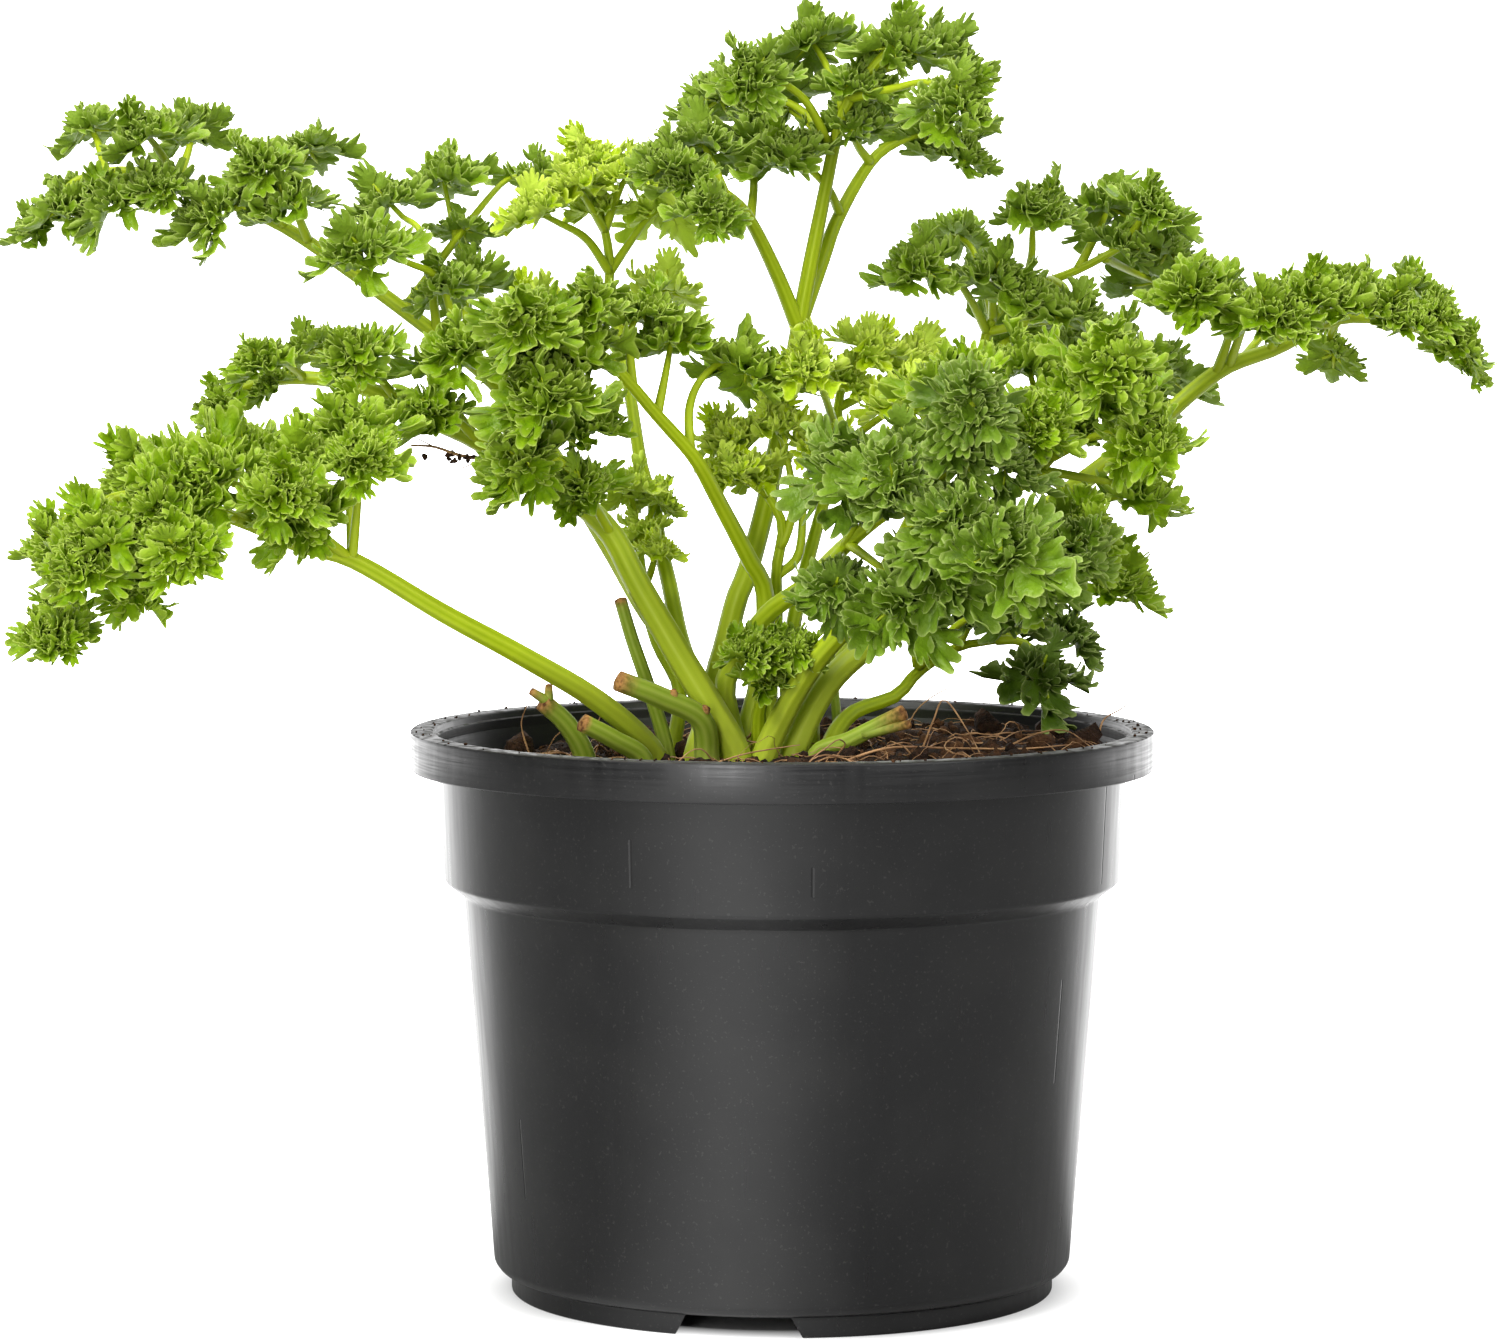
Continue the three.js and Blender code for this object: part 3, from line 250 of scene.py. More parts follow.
        "stalk": [(2, -6, 95), (9, -3, 108), (23, 1, 119), (34, 4, 128), (45, 6, 136), (56, 8, 144),
            (66, 9, 152), (77, 10, 161), (87, 10, 165), (97, 10, 170), (106, 10, 170), (113, 10, 168),
            (118, 10, 166), (121, 10, 162)],
        "leaves": [
            (12, [(77, 10, 161), (78, 3, 168), (76, -3, 173), (71, -8, 176)]),
            (11, [(80, 10, 162), (84, 17, 166), (88, 23, 170), (91, 27, 173)]),
            (8, [(97, 10, 170), (97, 17, 167), (98, 20, 164)]),
            (11, [(95, 10, 169), (94, 2, 174), (92, -4, 175)]),
            (10, [(98, 10, 170), (100, 18, 174), (102, 24, 176)]),
            (9, [(107, 10, 170), (105, 3, 173), (105, -2, 174)]),
            (9, [(108, 10, 170), (111, 16, 174), (112, 21, 175)]),
            (8, [(113, 10, 168), (114, 3, 171), (114, 0, 172)]),
            (11, [(78, 5, 166), (81, -3, 171), (84, -8, 172)]),
            (9, [(97, 10, 170), (98, 4, 174), (99, -4, 174)]),
            (9, [(87, 10, 165), (88, 2, 171), (87, -7, 172)]),
            (8, [(109, 10, 170), (110, 4, 171), (110, -3, 170)]),
            (8, [(113, 10, 168), (116, 5, 169), (118, 1, 166)]),
        ],
    },
    "frond_right_big": {
        "thick": 2.2,
        "tip_leaf": 11,
        "stalk": [(-3, -10, 95), (6, -15, 112), (19, -21, 125), (31, -25, 135), (44, -29, 146),
            (47, -30, 151), (50, -31, 156), (53, -32, 160)],
        "leaves": [
            (12, [(44, -29, 146), (38, -34, 152), (34, -37, 157), (29, -39, 161)]),
            (12, [(45, -29, 147), (44, -22, 153), (43, -17, 159), (42, -14, 163)]),
            (12, [(45, -29, 148), (52, -36, 151), (57, -40, 152), (61, -42, 151)]),
            (12, [(43, -29, 146), (48, -38, 142), (51, -43, 140), (50, -46, 136)]),
            (10, [(47, -30, 151), (55, -18, 152), (61, -12, 156)]),
            (11, [(44, -29, 146), (55, -24, 143), (61, -21, 141)]),
            (11, [(49, -31, 154), (53, -43, 162), (55, -47, 164)]),
            (12, [(37, -27, 140), (43, -20, 132), (50, -16, 129), (57, -12, 126)]),
            (10, [(40, -24, 137), (39, -30, 130), (40, -32, 126)]),
            (10, [(44, -29, 146), (43, -43, 151), (42, -51, 154)]),
        ],
    },
    "frond_right_front": {
        "thick": 2,
        "tip_leaf": 12,
        "stalk": [(-8, -5, 95), (-10, -4, 106), (-7, -6, 113), (-2, -11, 120), (4, -19, 125),
            (10, -32, 132), (16, -46, 138), (23, -57, 143), (28, -64, 148), (30, -67, 153),
            (31, -69, 158)],
        "leaves": [
            (13, [(10, -32, 132), (12, -42, 137), (11, -50, 143), (11, -55, 147)]),
            (13, [(11, -35, 133), (15, -50, 131), (18, -57, 129), (20, -62, 126)]),
            (13, [(19, -52, 140), (27, -64, 138), (31, -71, 136), (36, -76, 135)]),
            (10, [(10, -32, 132), (8, -42, 130), (9, -46, 127)]),
            (11, [(28, -64, 148), (33, -60, 149), (37, -58, 148)]),
            (11, [(23, -57, 143), (22, -46, 146), (21, -38, 150)]),
            (12, [(19, -52, 140), (19, -60, 145), (18, -66, 146)]),
            (12, [(23, -57, 143), (26, -65, 143), (27, -70, 140)]),
            (12, [(19, -52, 140), (25, -62, 134), (27, -67, 131)]),
            (11, [(23, -57, 143), (33, -60, 136), (41, -60, 131)]),
            (11, [(23, -57, 143), (36, -58, 138), (48, -54, 134)]),
        ],
    },
    "frond_right_low": {
        "thick": 1.7,
        "tip_leaf": 0,
        "stalk": [(8, -4, 95), (12, 2, 101), (20, 5, 104), (24, 8, 108), (31, 12, 112), (38, 15, 113)],
        "arms": [
            (1, 0, [(24, 7, 109), (23, 8, 114), (23, 8, 116)]),
        ],
        "leaves": [
            (10, [(24, 7, 109), (28, 2, 114), (32, -3, 118), (39, -6, 121)]),
            (13, [(38, 15, 113), (42, 14, 113), (45, 12, 111), (46, 11, 108)]),
            (10, [(38, 15, 113), (46, 19, 116), (51, 21, 115)]),
            (9, [(31, 12, 112), (33, 11, 116), (34, 10, 119)]),
        ],
    },
    "frond_young": {
        "thick": 1.6,
        "tip_leaf": 8,
        "stalk": [(-4, -5, 95), (-4, -8, 102), (-3, -11, 106), (-2, -12, 110), (-1, -13, 114)],
        "leaves": [
            (7, [(-3, -11, 107), (-4, -14, 110), (-6, -16, 114)]),
            (7, [(-2, -12, 109), (0, -13, 111), (3, -14, 114)]),
        ],
    },
    "frond_small_left": {
        "thick": 1.4,
        "tip_leaf": 8,
        "stalk": [(-19, 2, 95), (-18, 4, 105), (-22, 6, 113), (-24, 8, 120), (-25, 10, 128),
            (-26, 12, 135), (-27, 13, 140)],
        "leaves": [
            (6, [(-25, 9, 123), (-23, 5, 126), (-22, 3, 130)]),
            (7, [(-26, 11, 131), (-23, 14, 136), (-22, 16, 138)]),
        ],
    },
}
STUBS = {
    "stub_torn": {
        "thick": 1.9,
        "thin": 1.6,
        "stalk": [(-34, -16, 95), (-37, -18, 101), (-41, -20, 105)],
        "arms": [
            (1, [(-40, -20, 105), (-43, -21, 107)]),
            (0.9, [(-40, -20, 105), (-40, -20, 108)]),
        ],
    },
    "stub_cut": {
        "thick": 1.8,
        "thin": 1.6,
        "stalk": [(-24, -19, 95), (-29, -23, 99), (-34, -26, 102)],
    },
    "stub_brown": {
        "thick": 2.1,
        "thin": 1.8,
        "stalk": [(-13, -15, 95), (-14, -18, 102), (-21, -21, 106), (-28, -24, 109)],
        "arms": [
            (1.3, [(-18, -20, 104), (-19, -21, 107)]),
            (1.2, [(-14, -18, 102), (-13, -19, 104)]),
        ],
    },
    "stub_upright": {
        "thick": 1.3,
        "thin": 1.1,
        "stalk": [(-20, -6, 95), (-23, -8, 106), (-26, -9, 115), (-28, -10, 122)],
    },
    "stub_sheath": {
        "thick": 1.7,
        "thin": 1.3,
        "stalk": [(6, -11, 95), (12, -13, 98), (21, -16, 103)],
        "arms": [
            (1.1, [(14, -14, 99), (22, -17, 101)]),
        ],
    },
    "shoot_small": {
        "thick": 0.9,
        "thin": 0.7,
        "stalk": [(10, 6, 95), (9, 6, 107), (8, 7, 116), (8, 7, 120)],
        "arms": [
            (0.8, [(8, 7, 115), (11, 7, 119)]),
        ],
    },
}

# ---- settings ----


def length(name, description, default, low=0.0):
    """A length setting. The value is in metres, as Blender's lengths are."""
    return FloatProperty(
        name=name, description=description, default=default, min=low, subtype="DISTANCE", unit="LENGTH"
    )


def share(name, description, default):
    """A setting without a unit."""
    return FloatProperty(name=name, description=description, default=default, min=0.0, max=4.0)


def hexed(name, description, default):
    """A colour setting, as an sRGB hex value."""
    return StringProperty(name=name, description=description, default=default, maxlen=7)


class PotSettings(bpy.types.PropertyGroup):
    height: length("Height", "From the ground to the top of the rim", POT_HEIGHT)
    rim_radius: length("Rim radius", "Outer radius of the flat rim", RIM_RADIUS)
    rim_band: length("Rim band", "Height of the lip that is turned down", 6.8 * MM)
    wall: length("Wall", "Thickness of the moulded wall", 1.2 * MM)
    bevel: length("Edge", "Radius of the rounded edges", 0.5 * MM)
    around: IntProperty(name="Facets", description="Facets round the pot", default=180, min=24)
    colour: hexed("Black", "Body colour of the polypropylene", "#0a0a0b")
    dust: hexed("Dust", "Colour of dust and dried water", "#8b8984")


class PeatSettings(bpy.types.PropertyGroup):
    level: length("Level", "Height of the peat above the ground, at the middle", 94.2 * MM)
    radius: length("Radius", "Radius of the peat's top", 58.2 * MM)
    lumps: length("Lumps", "Height of the lumps of its top", 1.3 * MM)
    crumbs: IntProperty(name="Crumbs", description="Number of loose crumbs", default=1500, min=0)
    fibres: IntProperty(name="Fibres", description="Number of loose root fibres", default=150, min=0)
    colour: hexed("Peat", "Colour of damp peat", "#20120a")
    crumb_colour: hexed("Dry peat", "Colour of dry crumbs", "#5e3f26")
    fibre_colour: hexed("Fibres", "Colour of the dry root fibres", "#b98d5f")


class StalkSettings(bpy.types.PropertyGroup):
    ribs: IntProperty(name="Ribs", description="Ribs along a stalk", default=8, min=3)
    rib_height: share("Rib height", "Height of a rib as a share of the radius", 0.035)
    taper: share("Taper", "Share of the radius that is lost by the tip", 0.62)
    sheath: share("Sheath", "How much wider a stalk is at its foot", 0.14)
    colour: hexed("Stalk", "Colour of a stalk", "#93a806")
    rib_colour: hexed("Ribs", "Colour of the ribs", "#b2c12c")
    foot_colour: hexed("Foot", "Colour of a stalk's pale foot", "#b4c23c")
    dry_colour: hexed("Dry", "Colour of dried and torn tissue", "#a77a45")


class LeafSettings(bpy.types.PropertyGroup):
    thickness: length("Thickness", "Thickness of a leaf blade", 0.24 * MM)
    curl: share("Curl", "How far a lobe curls up, in radians", 0.95)
    ruffle: share("Ruffle", "How far its margin waves, in radians", 0.45)
    fill: share("Leaflet size", "Length of a leaflet beside the solid's leaflet", 0.86)


class StageSettings(bpy.types.PropertyGroup):
    floor_colour: hexed("Floor", "Colour of the plain floor", "#8c8c8b")
    floor_size: length("Floor size", "Width of the floor", 12.0)
    distance: length("Camera distance", "From the camera to the pot's axis", 0.9873)
    height: length("Camera height", "Height of the camera above the ground", 0.1882)


SETTINGS = {
    "parsley_pot": PotSettings,
    "parsley_peat": PeatSettings,
    "parsley_stalk": StalkSettings,
    "parsley_leaf": LeafSettings,
    "parsley_stage": StageSettings,
}


def settings(name):
    """The settings of one part of the plant, from the scene."""
    return getattr(bpy.context.scene, "parsley_" + name)


# ---- small tools ----

FRONT, RIGHT = np.array([0.0, -1.0, 0.0]), np.array([1.0, 0.0, 0.0])
CURVE_STEPS = 10  # between two points of a route
NEARLY_ALONG = 0.9  # cosine from which a direction counts as running along a path


def linear(text):
    """An sRGB hex colour as linear RGBA."""
    parts = [int(text[i : i + 2], 16) / 255 for i in (1, 3, 5)]
    return [p / 12.92 if p <= 0.04045 else ((p + 0.055) / 1.055) ** 2.4 for p in parts] + [1.0]


def unit(vectors):
    """Vectors brought to length 1."""
    vectors = np.asarray(vectors, float)
    return vectors / np.maximum(np.linalg.norm(vectors, axis=-1, keepdims=True), 1e-12)


def square_to(direction, wanted):
    """The part of wanted that stands square to direction, of length 1."""
    direction = np.asarray(direction, float)
    return unit(wanted - direction * np.sum(wanted * direction, axis=-1, keepdims=True))


def all_round(count):
    """Angles at even steps all the way round."""
    return 2 * np.pi * np.arange(count) / count


def run_of(path):
    """How far along a path each of its points lies."""
    return np.concatenate([[0.0], np.cumsum(np.linalg.norm(np.diff(path, axis=0), axis=1))])


def smooth_route(points, spacing):
    """Points at even steps along a smooth curve through the given points."""
    p = np.asarray(points, float)
    p = np.vstack([2 * p[0] - p[1], p, 2 * p[-1] - p[-2]])
    t = np.linspace(0, 1, CURVE_STEPS, endpoint=False)[:, None]
    fine = []
    for a, b, c, d in zip(p[:-3], p[1:-2], p[2:-1], p[3:]):
        second, third = 2 * a - 5 * b + 4 * c - d, 3 * b - a - 3 * c + d
        fine.append(0.5 * (2 * b + (c - a) * t + second * t**2 + third * t**3))
    fine = np.vstack(fine + [p[-2:-1]])
    run = run_of(fine)
    steps = np.linspace(0, run[-1], max(int(round(run[-1] / spacing)), 2) + 1)
    return np.column_stack([np.interp(steps, run, fine[:, k]) for k in range(3)])


def at_share(path, where):
    """The point of a path at a share of its length."""
    run = run_of(path)
    return np.array([np.interp(where * run[-1], run, path[:, k]) for k in range(3)])


def carried_frames(path):
    """Two directions square to a path, carried on from step to step without a twist."""
    tangent = unit(np.gradient(path, axis=0))
    side = RIGHT if abs(FRONT @ tangent[0]) > NEARLY_ALONG else FRONT
    across = []
    for t in tangent:
        side = square_to(t, side)
        across.append(side)
    across = np.array(across)
    return across, np.cross(tangent, across)


class Mesh:
    """Collects points, faces and a few values for each point, and makes one object of them."""

    def __init__(self, *values):
        self.points = []
        self.faces = {3: [], 4: []}
        self.values = {name: [] for name in values}
        self.count = 0

    def add(self, points, faces, **values):
        """Adds points, in millimetres from the pot's axis, and groups of faces that count them from 0."""
        points = np.asarray(points, float).reshape(-1, 3)
        for group in faces:
            group = np.asarray(group, np.int64)
            if len(group):
                self.faces[group.shape[1]].append(group + self.count)
        self.points.append(points)
        for name, kept in self.values.items():
            value = np.asarray(values.get(name, 0.0), np.float32)
            kept.append(np.broadcast_to(value, (len(points),)))
        self.count += len(points)

    def object(self, name, material, slot, replaces=(), smooth=True):
        """The object, in metres in the frame, riding on the body in place of the solids it replaces."""
        points = np.vstack(self.points) * MM + np.array([AXIS.x, AXIS.y, 0.0])
        loops, starts, at = [], [], 0
        for sides in (3, 4):
            for group in self.faces[sides]:
                loops.append(group.ravel())
                starts.append(at + sides * np.arange(len(group)))
                at += group.size
        loops, starts = np.concatenate(loops), np.concatenate(starts)
        mesh = bpy.data.meshes.new(name)
        mesh.vertices.add(len(points))
        mesh.vertices.foreach_set("co", points.astype(np.float32).ravel())
        mesh.loops.add(len(loops))
        mesh.loops.foreach_set("vertex_index", loops.astype(np.int32))
        mesh.polygons.add(len(starts))
        mesh.polygons.foreach_set("loop_start", starts.astype(np.int32))
        mesh.update(calc_edges=True)
        mesh.validate()
        for value, kept in self.values.items():
            layer = mesh.attributes.new(value, "FLOAT", "POINT")
            layer.data.foreach_set("value", np.concatenate(kept).astype(np.float32))
        if smooth:
            mesh.shade_smooth()
        mesh.materials.append(material)
        made = bpy.data.objects.new(name, mesh)
        bpy.context.scene.collection.objects.link(made)
        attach(made, BODY)
        if replaces:
            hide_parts(*replaces)
        return made


def ring_faces(rings, sides):
    """Quads between closed rings of points that follow one another."""
    i = np.arange(rings - 1)[:, None] * sides
    k = np.arange(sides)[None, :]
    n = (k + 1) % sides
    return np.stack([i + k, i + n, i + sides + n, i + sides + k], axis=-1).reshape(-1, 4)


def cap(ring_start, sides, centre, up):
    """Triangles from a ring to a point in its middle."""
    k = np.arange(sides)
    n = (k + 1) % sides
    rim = (ring_start + k, ring_start + n) if up else (ring_start + n, ring_start + k)
    return np.stack([*rim, np.full(sides, centre)], axis=-1)


def tube_points(path, radius, sides, bumps=None):
    """Rings of points round a path. bumps is added to the radius, as a share of it."""
    across, other = carried_frames(path)
    a = all_round(sides)
    spread = np.ones((len(path), sides)) if bumps is None else 1 + bumps
    reach = radius[:, None] * spread
    rings = path[:, None, :] + reach[..., None] * (
        np.cos(a)[None, :, None] * across[:, None, :] + np.sin(a)[None, :, None] * other[:, None, :]
    )
    return rings.reshape(-1, 3)


def add_tube(mesh, path, radius, sides, bumps=None, tip=0.0, **values):
    """A closed tube. tip is how far its rounded end stands out, in radii."""
    radius = np.asarray(radius, float)
    points = tube_points(path, radius, sides, bumps)
    tangent = unit(path[-1] - path[-2])
    ends = np.vstack([path[0], path[-1] + tangent * tip * radius[-1]])
    last = len(path) * sides
    faces = [
        ring_faces(len(path), sides),
        cap(0, sides, last, up=False),
        cap(last - sides, sides, last + 1, up=True),
    ]
    grown = {}
    for name, value in values.items():
        value = np.broadcast_to(np.asarray(value, float), (len(path), sides)).ravel()
        grown[name] = np.concatenate([value, [value[:sides].mean(), value[-sides:].mean()]])
    mesh.add(np.vstack([points, ends]), faces, **grown)


# ---- materials ----


def add_node(tree, kind, *inputs, output=None, **settings):
    """Adds a shader node with its settings and links, and returns one of its outputs.

    inputs go into the sockets that it uses, in turn. A setting is a property of the node or, with _
    for a space, a socket. A socket takes a value, a hex colour, or the output that it is linked to.
    The output is the one that is named, or the first that it uses.
    """
    node = tree.nodes.new("ShaderNode" + kind)
    for name in [name for name in settings if name in node.bl_rna.properties]:
        setattr(node, name, settings.pop(name))
    filled = list(zip([socket for socket in node.inputs if socket.enabled], inputs))
    filled += [(node.inputs[name.replace("_", " ")], value) for name, value in settings.items()]
    for socket, value in filled:
        if isinstance(value, bpy.types.NodeSocket):
            tree.links.new(value, socket)
        else:
            socket.default_value = linear(value) if isinstance(value, str) else value
    if output:
        return node.outputs[output]
    return next((socket for socket in node.outputs if socket.enabled), None)


def new_material(name):
    """A material without any nodes, and its node tree."""
    material = bpy.data.materials.new(name)
    material.use_nodes = True
    material.node_tree.nodes.clear()
    return material, material.node_tree


def in_millimetres(tree):
    """Where a point lies, in the piece's own space, in millimetres."""
    where = add_node(tree, "TexCoord", output="Object")
    return add_node(tree, "VectorMath", where, operation="SCALE", Scale=1 / MM)


def round_the_pot(tree, where):
    """A point's turn to the right round the pot from its front, in radians, and its way from the axis."""
    axis = (AXIS.x / MM, AXIS.y / MM, 0.0)
    from_axis = add_node(tree, "VectorMath", where, axis, operation="SUBTRACT")
    right = add_node(tree, "SeparateXYZ", from_axis, output="X")
    back = add_node(tree, "SeparateXYZ", from_axis, output="Y")
    front = add_node(tree, "Math", back, -1.0, operation="MULTIPLY")
    turn = add_node(tree, "Math", right, front, operation="ARCTAN2")
    return turn, add_node(tree, "VectorMath", from_axis, operation="LENGTH")


def patches(tree, where, size, low, high, detail=3.0, stretch=None):
    """Soft noise with patches of a real size in millimetres, as 0 to 1 between two levels."""
    if stretch:
        where = add_node(tree, "VectorMath", where, stretch, operation="MULTIPLY")
    soft = add_node(tree, "TexNoise", Vector=where, Scale=1 / size, Detail=detail, output="Fac")
    return add_node(tree, "MapRange", soft, From_Min=low, From_Max=high)


def layered(tree, colour, *layers):
    """A colour with others over it, each as (where it lies, how much it covers there, its colour)."""
    for place, cover, over in layers:
        factor = add_node(tree, "Math", place, cover, operation="MULTIPLY")
        colour = add_node(tree, "Mix", factor, colour, over, data_type="RGBA")
    return colour


def summed(tree, total, *parts):
    """A value with others added to it, each as (value, how much it counts)."""
    for value, weight in parts:
        total = add_node(tree, "Math", value, weight, total, operation="MULTIPLY_ADD")
    return total


# Thin upright creases and scratches in the pot's wall: degrees to the right of the front, and heights.
CREASES = [
    (67.6, 74.0, 93.0), (4.9, 76.0, 81.0), (-25.0, 77.0, 85.0), (-58.0, 20.0, 34.0),
    (61.0, 40.0, 58.0),
]
CREASE_HALF_WIDTH = math.radians(0.3)
CREASE_DEPTH = 9.0  # beside the ripple of the wall
LEVEL_FACE = 0.6  # a face whose normal points up by more than this holds dust


def creases(tree, where, height):
    """1 in a crease and 0 beside it."""
    turn, _ = round_the_pot(tree, where)
    total = 0.0
    for degrees, low, high in CREASES:
        off = add_node(tree, "Math", turn, math.radians(degrees), operation="SUBTRACT")
        off = add_node(tree, "Math", off, operation="ABSOLUTE")
        line = add_node(tree, "MapRange", off, 0.0, CREASE_HALF_WIDTH, 1.0, 0.0)
        for limit, operation in ((low, "GREATER_THAN"), (high, "LESS_THAN")):
            within = add_node(tree, "Math", height, limit, operation=operation)
            line = add_node(tree, "Math", line, within, operation="MULTIPLY")
        total = add_node(tree, "Math", line, total, operation="MAXIMUM")
    return total


def pot_polypropylene():
    """Black polypropylene, injection moulded: satin, with soft sheen, dust, fine scuffs and streaks."""
    look = settings("pot")
    material, tree = new_material("black_polypropylene_moulded")
    where = in_millimetres(tree)
    height = add_node(tree, "SeparateXYZ", where, output="Z")
    facing = add_node(tree, "NewGeometry", output="Normal")
    upward = add_node(tree, "SeparateXYZ", facing, output="Z")
    rim_low = (look.height - look.rim_band) / MM
    lip = add_node(tree, "Math", height, rim_low, operation="GREATER_THAN")

    # Dust lies thickest on the flat rim. Peat dust and dried water make it brown and patchy there.
    level = add_node(tree, "Math", upward, LEVEL_FACE, operation="GREATER_THAN")
    ledge = add_node(tree, "Math", level, lip, operation="MULTIPLY")
    film = patches(tree, where, size=14.0, low=0.42, high=0.75)
    specks = patches(tree, where, size=0.55, low=0.66, high=0.72, detail=1.0)
    grime = summed(tree, 0.25, (patches(tree, where, size=2.2, low=0.45, high=0.68), 1.0))
    dusty = add_node(tree, "Math", ledge, grime, operation="MULTIPLY")
    colour = layered(
        tree, look.colour, (film, 0.015, look.dust), (specks, 0.05, look.dust), (dusty, 0.1, "#5a4f45")
    )

    # The lip was rubbed all round, so that it has streaks along it. The body has upright ones.
    along = patches(tree, where, size=1.0, low=0.35, high=0.7, detail=2.0, stretch=(0.05, 0.05, 3.0))
    upright = patches(tree, where, size=1.0, low=0.3, high=0.75, stretch=(0.5, 0.5, 0.02))
    worn = add_node(tree, "Math", lip, along, operation="MULTIPLY")
    rough = summed(tree, 0.27, (worn, 0.14), (upright, 0.1), (dusty, 0.4))
    ripple = patches(tree, where, size=3.5, low=0.2, high=0.8, detail=2.0)
    surface = summed(tree, ripple, (creases(tree, where, height), -CREASE_DEPTH))
    bump = add_node(tree, "Bump", Height=surface, Distance=0.02 * MM, Strength=0.6)
    shader = add_node(
        tree, "BsdfPrincipled", Base_Color=colour, Roughness=rough, IOR=1.49, Normal=bump
    )
    add_node(tree, "OutputMaterial", Surface=shader)
    return material


def peat():
    """Damp peat: dark crumbs with dry fibrous ones among them, wholly matt."""
    look = settings("peat")
    material, tree = new_material("peat_damp_crumbled")
    where = in_millimetres(tree)
    tone = add_node(tree, "Attribute", attribute_name="tone", output="Fac")
    clods = patches(tree, where, size=3.0, low=0.35, high=0.7)
    grains = patches(tree, where, size=0.7, low=0.4, high=0.65)
    colour = layered(
        tree, look.colour, (clods, 1.0, "#3c2515"), (grains, 0.5, "#0d0806"),
        (tone, 1.0, look.crumb_colour),
    )
    surface = summed(tree, clods, (grains, 1.0))
    bump = add_node(tree, "Bump", Height=surface, Distance=0.5 * MM, Strength=1.0)
    shader = add_node(
        tree, "BsdfPrincipled", Base_Color=colour, Roughness=0.93, Specular_IOR_Level=0.25, Normal=bump
    )
    add_node(tree, "OutputMaterial", Surface=shader)
    return material


def root_fibre():
    """Dry root fibres and bits of straw: tan, thin and slightly shiny."""
    look = settings("peat")
    material, tree = new_material("root_fibre_dry")
    brown = patches(tree, in_millimetres(tree), size=4.0, low=0.35, high=0.7)
    colour = layered(tree, look.fibre_colour, (brown, 1.0, "#6f4a2c"))
    shader = add_node(tree, "BsdfPrincipled", Base_Color=colour, Roughness=0.6)
    add_node(tree, "OutputMaterial", Surface=shader)
    return material


def stalk(name, colour, rib_colour, foot_colour):
    """A fresh leaf stalk: smooth, juicy and ribbed, with paler ribs and a pale foot."""
    look = settings("stalk")
    material, tree = new_material(name)
    where = in_millimetres(tree)
    rib, along, cut = (
        add_node(tree, "Attribute", attribute_name=value, output="Fac")
        for value in ("rib", "along", "cut")
    )
    mottle = patches(tree, where, size=7.0, low=0.3, high=0.75)
    foot = add_node(tree, "MapRange", along, From_Min=0.05, From_Max=0.35, To_Min=0.85, To_Max=0.0)
    brown = patches(tree, where, size=0.9, low=0.4, high=0.65)
    torn = layered(tree, look.dry_colour, (brown, 1.0, "#5b3a20"))
    tone = layered(
        tree, colour, (1.0, 0.35, "#667c04"), (mottle, 1.0, colour), (rib, 0.55, rib_colour),
        (foot, 1.0, foot_colour), (cut, 1.0, torn),
    )
    skin = patches(tree, where, size=1.1, low=0.3, high=0.7, detail=2.0)
    shader = add_node(
        tree, "BsdfPrincipled", Base_Color=tone, Roughness=summed(tree, 0.46, (cut, 0.4)),
        Specular_IOR_Level=0.2, Subsurface_Weight=0.2, Subsurface_Radius=(0.9, 1.0, 0.35),
        Subsurface_Scale=1.2 * MM,
        Normal=add_node(tree, "Bump", Height=skin, Distance=0.05 * MM, Strength=0.5),
    )
    add_node(tree, "OutputMaterial", Surface=shader)
    return material


# Leaf colours: shade between the veins, blade, vein, pale margin and underside.
LEAF_COLOURS = {
    "leaf_mid_green": ("#346000", "#729e00", "#a2c01c", "#c0d638", "#86a028"),
    "leaf_dark_green": ("#386200", "#719804", "#9ab62c", "#b8cf48", "#7c962e"),
    "leaf_bright_green": ("#417000", "#7eaa00", "#adcb22", "#cde040", "#8eaa28"),
    "leaf_yellow_green": ("#86ac00", "#bed800", "#d2e82c", "#edf65a", "#b8cc58"),
    "leaf_cool_green": ("#2c5202", "#668c08", "#8dab34", "#a8c04e", "#6f8a2c"),
    # A darker copy of the leaf greens: painted shade, for the low frond whose upper side lies in shadow.
    "leaf_shade_painted_green": ("#2c4c02", "#4b6c08", "#6f8a2c", "#8fa24a", "#587224"),
}
# frond_right_low takes the darker copy of the greens, which is painted shade.
SHADED = {"frond_right_front": "leaf_cool_green", "frond_right_low": "leaf_shade_painted_green"}
GLOW_TIP_POWER, EDGE_POWER = 4.0, 24.0  # how close to its outline a lobe turns pale (a painted glow of light through its tips), and its thin pale edge
THROUGH = 0.22  # share of the light that a blade lets through


